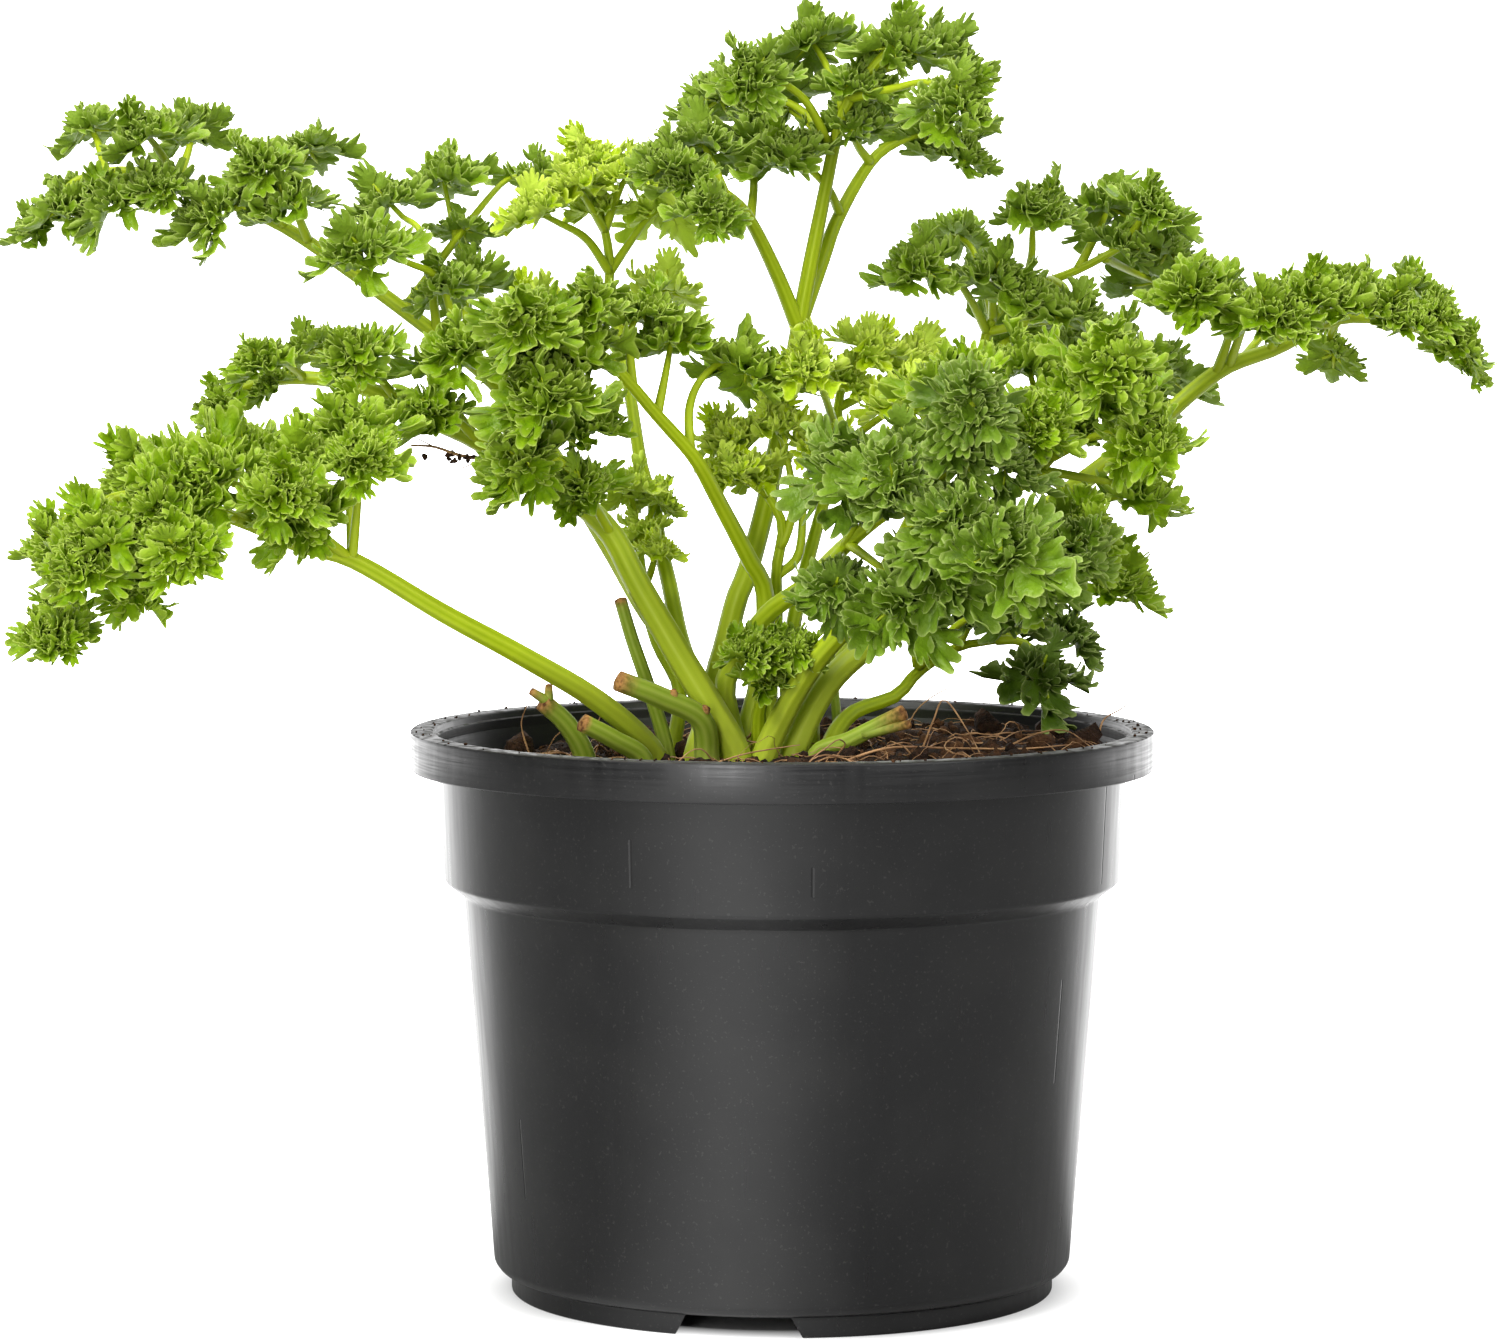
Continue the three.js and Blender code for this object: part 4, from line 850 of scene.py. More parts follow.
def leaf_blade(name, colours):
    """A living curled leaf: waxy above, matt and paler below, with pale veins and a thin pale margin."""
    shade, blade, vein_colour, margin, underside = colours
    material, tree = new_material(name)
    where = in_millimetres(tree)
    along, vein, tint, under = (
        add_node(tree, "Attribute", attribute_name=value, output="Fac")
        for value in ("along", "vein", "tint", "under")
    )
    mottle = patches(tree, where, size=1.6, low=0.3, high=0.7, detail=2.0)
    # Paler towards the tips of the lobes: a painted glow of light through the thin blade, in the margin
    # colour.
    tips = add_node(tree, "Math", along, GLOW_TIP_POWER, operation="POWER")
    edge = add_node(tree, "Math", along, EDGE_POWER, operation="POWER")
    colour = layered(
        tree, shade, (summed(tree, 0.0, (tint, 0.75), (mottle, 0.3)), 1.0, blade),
        (vein, 0.6, vein_colour), (tips, 0.35, margin),
        (edge, 0.5, layered(tree, margin, (1.0, 0.5, "#dce6a0"))), (under, 0.5, underside),
    )
    skin = patches(tree, where, size=0.9, low=0.3, high=0.7, detail=2.0)
    shader = add_node(
        tree, "BsdfPrincipled", Base_Color=colour, Roughness=summed(tree, 0.35, (under, 0.25)),
        Specular_IOR_Level=0.3, Specular_Tint=(1.0, 1.0, 0.7, 1.0),
        Normal=add_node(tree, "Bump", Height=skin, Distance=0.16 * MM, Strength=0.8),
    )
    # Thin blades let light through, which makes the ones against the light glow yellow-green.
    through = add_node(tree, "BsdfTranslucent", Color=layered(tree, blade, (1.0, 0.3, margin)))
    add_node(tree, "OutputMaterial", Surface=add_node(tree, "MixShader", THROUGH, shader, through))
    return material


# ---- pot ----

# The gaps in the foot: the first one's turn in degrees, their widths, and how far a cutter goes to the
# inside and outside of the ring and below the ground.
FOOT_GAPS = {"count": 3, "first": -99.0, "top": 18.0, "bottom": 23.0, "reach": 8.0, "below": 1.0}
DRAINS = {"count": 5, "radius": 4.5, "circle": 33.0, "sides": 40}
BODY_RADII = {
    "rim_inner": 61.1, "shoulder_top": 60.3, "shoulder_foot": 59.1, "body_top": 55.7,
    "body_foot": 50.6, "foot": 47.6, "foot_wall": 1.8,
}
BODY_HEIGHTS = {"shoulder": 72.5, "body_top": 69.9, "body_foot": 5.4, "floor": 4.8}
CORNER_SHARE = 0.45  # of the shorter side of a corner, that its rounding may take up
POT_SHARP = math.radians(32)


def pot_profile(look):
    """The pot's outline from the axis round the outside and back inside, as (radius, height)."""
    r, z = BODY_RADII, BODY_HEIGHTS
    top, rim, wall, edge = look.height / MM, look.rim_radius / MM, look.wall / MM, look.bevel / MM
    lip, under = top - look.rim_band / MM, z["floor"] - wall
    return [
        (0.0, under), (r["foot"] - r["foot_wall"], under), (r["foot"] - r["foot_wall"], 0.0),
        (r["foot"], 0.0), (r["foot"], under), (r["body_foot"] - 2 * edge, under + edge),
        (r["body_foot"], z["body_foot"]), (r["body_top"], z["body_top"]),
        (r["shoulder_foot"], z["shoulder"]), (r["shoulder_top"], top - wall),
        (rim - wall, top - wall), (rim - wall, lip), (rim, lip), (rim, top), (r["rim_inner"], top),
        (r["shoulder_top"] - wall, lip), (r["shoulder_foot"] - wall, z["shoulder"] - edge),
        (r["body_top"] - wall, z["body_top"] - edge), (r["body_foot"] - wall, z["floor"]),
        (0.0, z["floor"]),
    ]


def rounded(profile, radius, steps=3):
    """The profile with all of its corners rounded but its two ends."""
    p = [np.array(q, float) for q in profile]
    out = [p[0]]
    for before, corner, after in zip(p[:-2], p[1:-1], p[2:]):
        ways = [before - corner, after - corner]
        reach = min(radius, *(np.linalg.norm(way) * CORNER_SHARE for way in ways))
        a, b = (corner + unit(way) * reach for way in ways)
        for t in np.linspace(0, 1, steps + 1):
            out.append((1 - t) ** 2 * a + 2 * t * (1 - t) * corner + t**2 * b)
    return np.array(out + [p[-1]])


def add_lathe(mesh, profile, around):
    """The closed solid that a profile makes round the axis. Its first and last point lie on the axis."""
    a = all_round(around)
    r, z = profile[1:-1, 0], profile[1:-1, 1]
    heights = np.broadcast_to(z[:, None], (len(r), around))
    rings = np.stack([r[:, None] * np.cos(a), r[:, None] * np.sin(a), heights], axis=-1)
    ends = [[0, 0, profile[0, 1]], [0, 0, profile[-1, 1]]]
    last = len(r) * around
    faces = [
        ring_faces(len(r), around),
        cap(0, around, last, up=False),
        cap(last - around, around, last + 1, up=True),
    ]
    mesh.add(np.vstack([rings.reshape(-1, 3), ends]), faces)


def add_prism(mesh, outline, low, high):
    """A closed prism from a flat outline, given as points, between two shifts."""
    outline = np.array(outline, float)
    sides = len(outline)
    points = np.vstack([outline + low, outline + high, [outline.mean(0) + low], [outline.mean(0) + high]])
    faces = [
        ring_faces(2, sides),
        cap(0, sides, 2 * sides, up=False),
        cap(sides, sides, 2 * sides + 1, up=True),
    ]
    mesh.add(points, faces)


def add_foot_gap(mesh, turn, under):
    """A wedge that opens the foot ring, wider at the ground than above."""
    g, radius = FOOT_GAPS, BODY_RADII["foot"]
    a = math.radians(turn)
    out, across = np.array([math.cos(a), math.sin(a), 0]), np.array([-math.sin(a), math.cos(a), 0])
    up = np.array([0, 0, 1.0])
    low = [(-g["bottom"], -g["below"]), (g["bottom"], -g["below"])]
    high = [(g["top"], under), (-g["top"], under)]
    outline = [across * w / 2 + up * z for w, z in low + high]
    add_prism(mesh, outline, out * (radius - g["reach"]), out * (radius + g["reach"]))


def add_drain(mesh, x, y, height):
    """A prism that opens a drain hole. It reaches well past both faces of the pot's floor."""
    a = all_round(DRAINS["sides"])
    ring = np.column_stack([x + DRAINS["radius"] * np.cos(a), y + DRAINS["radius"] * np.sin(a), 0 * a])
    add_prism(mesh, ring, np.array([0, 0, 0.5 * height - 2]), np.array([0, 0, 2 * height]))


def cut_away(made, cutter):
    """Cuts one object out of another and removes the cutter."""
    cut = made.modifiers.new("cut", "BOOLEAN")
    cut.object, cut.operation, cut.solver = cutter, "DIFFERENCE", "EXACT"
    graph = bpy.context.evaluated_depsgraph_get()
    whole = bpy.data.meshes.new_from_object(made.evaluated_get(graph))
    made.modifiers.clear()
    made.data = whole
    bpy.data.objects.remove(cutter)


class PARSLEY_OT_pot(bpy.types.Operator):
    """Moulds the nursery pot: rim with its lip, stepped band, body, foot ring with gaps and drains"""

    bl_idname = "parsley.pot"
    bl_label = "Pot"

    def execute(self, context):
        look = settings("pot")
        under = BODY_HEIGHTS["floor"] - look.wall / MM
        shell, cuts = Mesh(), Mesh()
        add_lathe(shell, rounded(pot_profile(look), look.bevel / MM), look.around)
        for i in range(FOOT_GAPS["count"]):
            add_foot_gap(cuts, FOOT_GAPS["first"] + 360 / FOOT_GAPS["count"] * i, under)
        floor, circle = BODY_HEIGHTS["floor"], DRAINS["circle"]
        add_drain(cuts, 0.0, 0.0, floor)
        for a in all_round(DRAINS["count"]):
            add_drain(cuts, circle * math.cos(a), circle * math.sin(a), floor)
        material = pot_polypropylene()
        made = shell.object("pot_shell", material, "pot_polypropylene", ["pot"])
        cutter = cuts.object("pot_cutter", material, "pot_polypropylene")
        cut_away(made, cutter)
        made.data.shade_smooth()
        made.data.set_sharp_from_angle(angle=POT_SHARP)
        return {"FINISHED"}


# ---- peat ----

TILT = {"right": 2.2, "left": 2.4}  # how far the peat rises to the right and falls to the left
LUMPS = {"height": 0.8, "small": 0.7}  # of its waves, and of the slanting ones beside the others
ROUGHNESS = {"scale": 0.11, "slice": 3.1, "fade": 0.7, "finer": 2.1, "layers": 5}
EDGE_FALL = {"height": 1.2, "power": 6}
# The peat stands clear of the pot's wall and steps, more so in the upper band, and its side ends at top.
PEAT_SIDE = {"gap": 0.35, "below_step": 0.5, "top_gap": 0.3, "top": 86.0}


def peat_height(x, y, look):
    """Height of the peat at a point, in millimetres: tilted, lumpy, and a little lower at the edge."""
    radius = look.radius / MM
    tilt = (TILT["right"] if x > 0 else TILT["left"]) * x / radius
    # Waves about 2 cm long, which cross, and slanting ones of about 1.5 cm.
    waves, slanting = math.sin(x * 0.31 + 1.3) * math.cos(y * 0.27), math.sin(x * 0.13 - y * 0.41)
    lumps = waves + LUMPS["small"] * slanting
    place = Vector((x * ROUGHNESS["scale"], y * ROUGHNESS["scale"], ROUGHNESS["slice"]))
    rough = noise.fractal(place, ROUGHNESS["fade"], ROUGHNESS["finer"], ROUGHNESS["layers"])
    edge = EDGE_FALL["height"] * (math.hypot(x, y) / radius) ** EDGE_FALL["power"]
    return look.level / MM + tilt + LUMPS["height"] * lumps + rough * look.lumps / MM - edge


def inner_wall():
    """The peat's side from its foot up, a hair inside the pot, as (radius, height)."""
    r, z, side = BODY_RADII, BODY_HEIGHTS, PEAT_SIDE
    wall = settings("pot").wall / MM + side["gap"]
    return [
        (r["body_foot"] - wall, z["floor"] + side["gap"]),
        (r["body_top"] - wall, z["body_top"] - side["below_step"]),
        (r["shoulder_foot"] - wall, z["shoulder"] - side["below_step"]),
        (r["shoulder_top"] - wall - side["top_gap"], side["top"]),
    ]


class PARSLEY_OT_peat(bpy.types.Operator):
    """Fills the pot with peat, with a lumpy, crumbling top"""

    bl_idname = "parsley.peat"
    bl_label = "Peat"

    RINGS, AROUND = 88, 240

    def execute(self, context):
        look = settings("peat")
        wall = inner_wall()
        a = all_round(self.AROUND)
        circle = np.column_stack([np.cos(a), np.sin(a)])
        points = [[0, 0, wall[0][1]]]
        for r, z in wall:
            points.extend([x, y, z] for x, y in circle * r)
        edge = wall[-1][0]
        for r in edge * np.linspace(1, 0, self.RINGS + 1)[:-1]:
            points.extend([x, y, peat_height(x, y, look)] for x, y in circle * r)
        points.append([0, 0, peat_height(0, 0, look)])
        rings = len(wall) + self.RINGS
        last = rings * self.AROUND
        faces = [
            ring_faces(rings, self.AROUND) + 1,
            cap(1, self.AROUND, 0, up=False),
            cap(1 + last - self.AROUND, self.AROUND, last + 1, up=True),
        ]
        mesh = Mesh("tone")
        mesh.add(points, faces, tone=0.0)
        mesh.object("peat_bed", peat(), "peat", ["soil"])
        return {"FINISHED"}


def ball(steps):
    """Points and triangles of a ball of radius 1."""
    shape = bmesh.new()
    bmesh.ops.create_icosphere(shape, subdivisions=steps, radius=1.0)
    points = np.array([v.co[:] for v in shape.verts])
    faces = np.array([[v.index for v in f.verts] for f in shape.faces])
    shape.free()
    return points, faces


def random_turn(rng):
    """A random rotation, as a matrix."""
    q, _ = np.linalg.qr(rng.normal(size=(3, 3)))
    return q * np.sign(np.linalg.det(q))


# Loose crumbs. The sizes of those on the peat are a log-normal draw, and all are radii. raised is how
# high a crumb's middle lies, as a share of its size.
CRUMBS = {"seed": 41, "size": (-0.45, 0.55), "largest": 3.2, "from_edge": 1.5, "raised": 0.2}
RIM_CRUMBS = {"count": 90, "ring": (61.2, 64.2), "size": (0.12, 0.38), "raised": 0.4}
FINE_FROM = 1.1  # crumbs larger than this are made with more faces
DENTED, SQUASHED = (0.68, 1.25), (0.6, 1.2)  # each of its points, and each of its widths
MOSTLY_DARK = 2.2  # power of the draw for a crumb's tone


def crumb_on_peat(rng, look):
    """Where a loose crumb lies on the peat, and its size."""
    a = rng.uniform(0, 2 * np.pi)
    r = (look.radius / MM - CRUMBS["from_edge"]) * math.sqrt(rng.uniform(0, 1))
    size = min(rng.lognormal(*CRUMBS["size"]), CRUMBS["largest"])
    x, y = r * math.cos(a), r * math.sin(a)
    return [x, y, peat_height(x, y, look) + CRUMBS["raised"] * size], size


def crumb_on_rim(rng):
    """Where a small crumb lies on the pot's flat rim, and its size."""
    a = rng.uniform(0, 2 * np.pi)
    r, size = rng.uniform(*RIM_CRUMBS["ring"]), rng.uniform(*RIM_CRUMBS["size"])
    top = settings("pot").height / MM
    return [r * math.cos(a), r * math.sin(a), top + RIM_CRUMBS["raised"] * size], size


class PARSLEY_OT_crumbs(bpy.types.Operator):
    """Strews loose crumbs of peat over its top, and a few on the flat rim"""

    bl_idname = "parsley.crumbs"
    bl_label = "Crumbs"

    def execute(self, context):
        look = settings("peat")
        rng = np.random.default_rng(CRUMBS["seed"])
        small, large = ball(1), ball(2)
        mesh = Mesh("tone")
        for i in range(look.crumbs + RIM_CRUMBS["count"]):
            where, size = crumb_on_peat(rng, look) if i < look.crumbs else crumb_on_rim(rng)
            points, faces = large if size > FINE_FROM else small
            shape = points * rng.uniform(*DENTED, (len(points), 1))
            shape = shape * rng.uniform(*SQUASHED, 3) @ random_turn(rng).T * size
            mesh.add(shape + where, [faces], tone=rng.uniform(0, 1) ** MOSTLY_DARK)
        mesh.object("peat_crumbs", peat(), "peat", smooth=False)
        return {"FINISHED"}


# Fibres that stand out: arched over the peat or up from it, as points with a height over the peat.
LONG_FIBRES = [
    (0.34, [(-55, -6, 1.0), (-49, -9, 2.6), (-42, -12, 4.6), (-37, -16, 3.2), (-35, -19, 0.3)]),
    (0.2, [(56, 12, 0.5), (57, 13, 4.5), (60, 13, 7.0), (62, 12, 9.5)]),
    (0.2, [(-44, 8, 0.4), (-46, 8, 6.0), (-45, 8, 10.5)]),
    (0.2, [(24, -14, 0.3), (26, -15, 6.0), (28, -16, 9.5), (32, -19, 4.5), (34, -23, 0.2)]),
    (0.26, [(8, -27, 0.6), (18, -24, 2.0), (29, -20, 2.4), (41, -18, 1.2), (50, -14, 1.4)]),
    (0.18, [(-30, 24, 0.4), (-33, 25, 6.0), (-31, 27, 9.0)]),
    (0.22, [(-24, -32, 0.5), (-15, -30, 1.8), (-6, -27, 3.4), (3, -24, 3.9)]),
    (0.16, [(22, 30, 0.5), (25, 31, 5.0), (31, 32, 7.5), (35, 31, 6.0)]),
    (0.2, [(38, -8, 0.4), (44, -9, 3.8), (49, -12, 4.6), (53, -17, 1.0)]),
]
FIBRES = {
    "seed": 7,
    "circle": 52.0,  # they start inside it
    "from": 0.02,  # but not at its middle: share of its area
    "reach": 56.5,  # they end where they come to this circle
    "steps": (6, 16),
    "step": 1.4,
    "fewest": 4,  # shorter ones are left out
    "winding": 0.42,  # radians
    "lift": 0.25,  # over the peat, at both ends
    "arch": (0.3, 1.6),
    "high_arch": 3.0,  # times as high, for some
    "high_share": 0.14,
    "thick": (0.07, 0.19),
}
# How fibres are made: spacing of the rings along them, what is left of the radius at the tip, and sides.
LONG_FIBRE, SHORT_FIBRE, ROOT = (1.0, 0.45, 5), (1.2, 0.5, 4), (0.9, 0.4, 6)

SNAGGED_ROOT = [
    (0.5, [(-46, -10, 147.5), (-50, -10.5, 146.5), (-55, -11, 146.8), (-60, -11, 148.4),
        (-64, -10, 148.6)]),
    (0.13, [(-60, -11, 148.4), (-64, -10, 150.5), (-66, -9, 153), (-66, -9, 156)]),
    (0.16, [(-52, -10.5, 146.5), (-55, -11, 144.8), (-58, -11, 145.4)]),
]
SNAGGED_BITS = {
    "count": 22, "middle": (-54.5, -11, 146.4), "spread": (2.4, 0.35, 0.45), "size": (0.3, 0.9),
    "dented": (0.6, 1.2), "tone": (0, 0.5),
}


def add_fibre(mesh, route, thick, kind):
    """A thin, tapering fibre along a route."""
    spacing, left, sides = kind
    path = smooth_route(route, spacing)
    add_tube(mesh, path, np.linspace(thick, thick * left, len(path)), sides, tip=1.0)


def winding_route(rng, look):
    """Where a loose fibre curls over the peat, as points."""
    f = FIBRES
    a, r = rng.uniform(0, 2 * np.pi), f["circle"] * math.sqrt(rng.uniform(f["from"], 1))
    x, y, heading = r * math.cos(a), r * math.sin(a), rng.uniform(0, 2 * np.pi)
    steps = rng.integers(*f["steps"])
    arch = rng.uniform(*f["arch"]) * (f["high_arch"] if rng.uniform() < f["high_share"] else 1.0)
    route = []
    for k in range(steps):
        if math.hypot(x, y) > f["reach"]:
            break
        lift = f["lift"] + arch * math.sin(math.pi * k / (steps - 1))
        route.append((x, y, peat_height(x, y, look) + lift))
        heading += rng.normal(0, f["winding"])
        x, y = x + f["step"] * math.cos(heading), y + f["step"] * math.sin(heading)
    return route


def snag_root(rng):
    """A dead root that hangs on a stalk, with crumbs of peat on it."""
    root, bits = Mesh(), Mesh("tone")
    for thick, route in SNAGGED_ROOT:
        add_fibre(root, route, thick, ROOT)
    points, faces = ball(1)
    for _ in range(SNAGGED_BITS["count"]):
        middle = np.array(SNAGGED_BITS["middle"]) + rng.normal(0, 1, 3) * SNAGGED_BITS["spread"]
        shape = points * rng.uniform(*SNAGGED_BITS["dented"], (len(points), 1))
        shape = shape * rng.uniform(*SNAGGED_BITS["size"], 3)
        bits.add(shape + middle, [faces], tone=rng.uniform(*SNAGGED_BITS["tone"]))
    root.object("snagged_root", root_fibre(), "peat")
    bits.object("snagged_bits", peat(), "peat", smooth=False)


class PARSLEY_OT_fibres(bpy.types.Operator):
    """Lays dry root fibres over the peat, curling and crossing, with a few that arch up"""

    bl_idname = "parsley.fibres"
    bl_label = "Root fibres"

    def execute(self, context):
        look = settings("peat")
        rng = np.random.default_rng(FIBRES["seed"])
        mesh = Mesh()
        for thick, route in LONG_FIBRES:
            raised = [(x, y, peat_height(x, y, look) + lift) for x, y, lift in route]
            add_fibre(mesh, raised, thick, LONG_FIBRE)
        for _ in range(look.fibres):
            route = winding_route(rng, look)
            if len(route) >= FIBRES["fewest"]:
                add_fibre(mesh, route, rng.uniform(*FIBRES["thick"]), SHORT_FIBRE)
        mesh.object("root_fibres", root_fibre(), "peat")
        snag_root(rng)
        return {"FINISHED"}


# ---- stalks ----

INTO_PEAT = 8.0  # how far a stalk goes down into the peat
RIBBED_SIDES, FEWEST_RIBBED = 32, 16  # a stalk with fewer sides is only flattened
TAPER_POWER = 1.15
SHEATH_LENGTH = 16.0
GROOVE = {"depth": 0.16, "width": 0.5}  # of the radius, and in radians, along its back
RIBS_FADE = {"from": 1.2, "by": 0.4}  # towards the tip
SIDE_ALONG = 0.4  # what an arm or a side stalk counts as at its start, as a share of the whole stalk
END_STANDS_OUT = 0.35  # in radii
MAIN_SPACING, TIP_SPACING = 2.6, 1.0  # of the rings along a path
ARM = {"spacing": 2.2, "taper": 0.5, "sides": 20}
SIDE_STALK = {"spacing": 1.6, "thick": 0.95, "thin": 0.45, "sides": 10}
LEAF_SHARP = math.radians(70)


def add_stalk(mesh, path, thick, thin, look, foot=True, sides=RIBBED_SIDES, cut=0.0):
    """A ribbed, tapering stalk. A main stalk widens to a sheath at its foot.

    foot says that it is a main stalk, and cut is the length of its torn end.
    """
    run = run_of(path)
    t = run / run[-1]
    radius = thick + (thin - thick) * t**TAPER_POWER
    if foot:
        radius = radius * (1 + look.sheath * np.clip(1 - run / SHEATH_LENGTH, 0, 1) ** 2)
    a = all_round(sides)
    ribs = np.cos(look.ribs * a) if sides > FEWEST_RIBBED else np.cos(2 * a)
    fade = np.clip(RIBS_FADE["from"] - RIBS_FADE["by"] * t, 0, 1)[:, None]
    groove = -GROOVE["depth"] * np.exp(-(((a - np.pi) / GROOVE["width"]) ** 2))
    bumps = (look.rib_height * ribs + groove) * fade
    ends = np.clip((run - run[-1] + cut) / cut, 0, 1) if cut else 0 * run
    along = t if foot else SIDE_ALONG + (1 - SIDE_ALONG) * t
    add_tube(
        mesh, path, radius, sides, bumps, tip=END_STANDS_OUT, rib=0.5 + 0.5 * ribs[None, :],
        along=along[:, None], cut=ends[:, None],
    )


def rooted(route):
    """The route with its foot in the peat added in front."""
    x, y, z = route[0]
    return [(x, y, z - INTO_PEAT), *route]


def nearest_on(paths, point):
    """The point of several paths that is nearest to a point."""
    whole = np.vstack(paths)
    return whole[np.argmin(np.linalg.norm(whole - np.asarray(point), axis=1))]


# ---- leaves ----

RINGS = (0.4, 0.74, 1.0)  # of a lobe, as shares of its length
NOTCH, DEEP_NOTCH = 0.81, 0.56  # how far out the notches between the teeth reach
DEEP_NOTCHES = {5: (1, 4), 7: (2, 5)}  # by number of teeth: which two notches are deep
LOBE = {
    "half_angle": (0.56, 0.8),  # radians, of a lobe with five teeth
    "more_per_tooth": 0.06,
    "wider": 0.3,  # of a frond whose lobes open wide
    "shallower": 0.06,  # its notches
    "round": 0.24,  # how much shorter a lobe is at its sides
    "uneven": 0.07,  # its teeth
    "foot": 0.5,  # millimetres from where its sides would meet to where it grows
    "cupped": 0.18,
    "ridge": 0.5,  # height of the folds along its teeth
    "fold": 0.6,  # how far up a tooth its fold turns from a dip to a rise
    "thinner": 0.4,  # at its outline
}
TOOTH_POWER, BEND_POWER = 0.6, 1.4
FLICK = (0.1, 0.25)  # of each tooth, in radians: middle and spread
WAVES = (0.9, 1.7)  # of the margin, across a lobe
CURL_SPREAD = 0.3
FLATTEST = 1e-4  # radians
VEINS = [1.0, 0.4, 0.5]  # how pale they are at the foot, on the inner ring, and below each tooth
BY_TOOTH = 0.9
LONG_LEAF = 32.0
CROWNS = {  # where leaflets spread from: share of the side stalk, share of the leaflet's size
    "long": [(0.5, 0.84), (1.0, 1.0)],
    "short": [(1.0, 1.0)],
    "tip": [(0.35, 0.85), (1.0, 1.0)],
}
# How the leaves of a frond grow: leaflets of a crown that droop and that stand up, as (how many, lowest
# and highest lift from the crown's plane, size), frilled lobes on each leaflet, and how wide lobes open.
STYLES = {
    "open": {"skirt": (5, -44, -6, 1.0), "tuft": (1, 45, 80, 0.7), "frills": 2, "wide": 0.6},
    "tufted": {"skirt": (5, -44, -2, 1.0), "tuft": (2, 38, 75, 0.76), "frills": 3, "wide": 0.2},
    "loose": {"skirt": (5, -44, -6, 1.0), "tuft": (1, 45, 80, 0.7), "frills": 1, "wide": 0.6},
}
STYLE_OF = {  # the other fronds are tufted
    "frond_top_left": "open", "frond_left_mid": "open", "frond_upper_right": "open",
    "frond_far_right": "open", "frond_centre": "open", "frond_right_front": "loose",
    "frond_right_low": "loose",
}
# Lobes of a leaflet: share of its rib, degrees off it, lowest and highest lift, size.
BLADE_LOBES = [
    (0.12, 78, -18, 12, 0.56), (0.12, -78, -18, 12, 0.56), (0.6, 44, -18, 12, 0.6),
    (0.6, -44, -18, 12, 0.6), (1.0, 0, -18, 12, 0.66),
]
FRILLS = [(0.35, 64, 26, 60, 0.42), (0.6, -64, 30, 64, 0.42), (0.85, 8, 36, 66, 0.4)]
FLAT, RAISED = 0.7, 0.3  # curl of the lobes of the blade and of the frills
LEAN = {"across": 0.35 / 130, "front": 0.85 / 60, "back": 0.2 / 60, "heading": 0.3}
LEAN_TO = -60  # the plant's dome gets no steeper further to the front
LEAFLET_RIB = {"middle": 0.26, "end": 0.5, "rise": 0.05, "radius": [0.42, 0.34, 0.22], "sides": 5}
# Ranges of the random draws: how far a face tilts, how far a lobe turns off (degrees) and a leaflet
# round its crown (radians), shares of the sizes, the tint of a leaf, and spreads of tint within it.
TILTED, OFF, ROUND = 0.2, 12, 0.25
LOBE_SIZES, LEAFLET_SIZES = (0.85, 1.15), (0.88, 1.12)
LEAF_TINT = (0.25, 0.75)
LOBE_TINT, LEAFLET_TINT = 0.18, 0.12


def crown_axis(point, heading):
    """Which way a crown of leaflets faces: up, and outwards as the whole plant's dome does there."""
    x, y, _ = point
    to_side = max(y, LEAN_TO) * LEAN["front" if y < 0 else "back"]
    return unit(np.array([x * LEAN["across"], to_side, 1.0]) + heading * LEAN["heading"])


def heading_of(path):
    """Which way a path leads over the ground."""
    way = (path[-1] - path[0]) * [1, 1, 0]
    return unit(way) if np.linalg.norm(way) > 1 else FRONT


def fan_grid(teeth):
    """Shares along and across one lobe for each point of one face, and the triangles of both faces.

    The foot is one point. Each ring after it has twice as many steps for a tooth as the one before.
    """
    counts = [teeth, 2 * teeth, 4 * teeth]
    starts = np.cumsum([1, counts[0] + 1, counts[1] + 1])
    along, across = [np.zeros(1)], [np.full(1, 0.5)]
    for share_out, count in zip(RINGS, counts):
        along.append(np.full(count + 1, share_out))
        across.append(np.arange(count + 1) / count)
    j = np.arange(teeth)
    above = [np.column_stack([0 * j, starts[0] + j + 1, starts[0] + j])]
    for inner, outer, count in zip(starts[:-1], starts[1:], counts[:-1]):
        j = np.arange(count)
        a, b = inner + j, outer + 2 * j
        above.append(np.column_stack([a, b + 1, b]))
        above.append(np.column_stack([a, a + 1, b + 1]))
        above.append(np.column_stack([a + 1, b + 2, b + 1]))
    above = np.vstack(above)
    per = starts[-1] + counts[-1] + 1
    below = above[:, ::-1] + per
    wall = fan_wall(starts, counts, per)
    return np.concatenate(along), np.concatenate(across), np.vstack([above, below, wall])


def fan_wall(starts, counts, per):
    """The triangles that join the upper face of a lobe to its lower one, all round its outline."""
    right = [start + count for start, count in zip(starts, counts)]
    tip = range(per - 2, starts[-1], -1)
    loop = np.array([0, *right, *tip, *starts[::-1]])
    after = np.roll(loop, -1)
    first, second = (after, loop, loop + per), (after, loop + per, after + per)
    return np.vstack([np.column_stack(first), np.column_stack(second)])


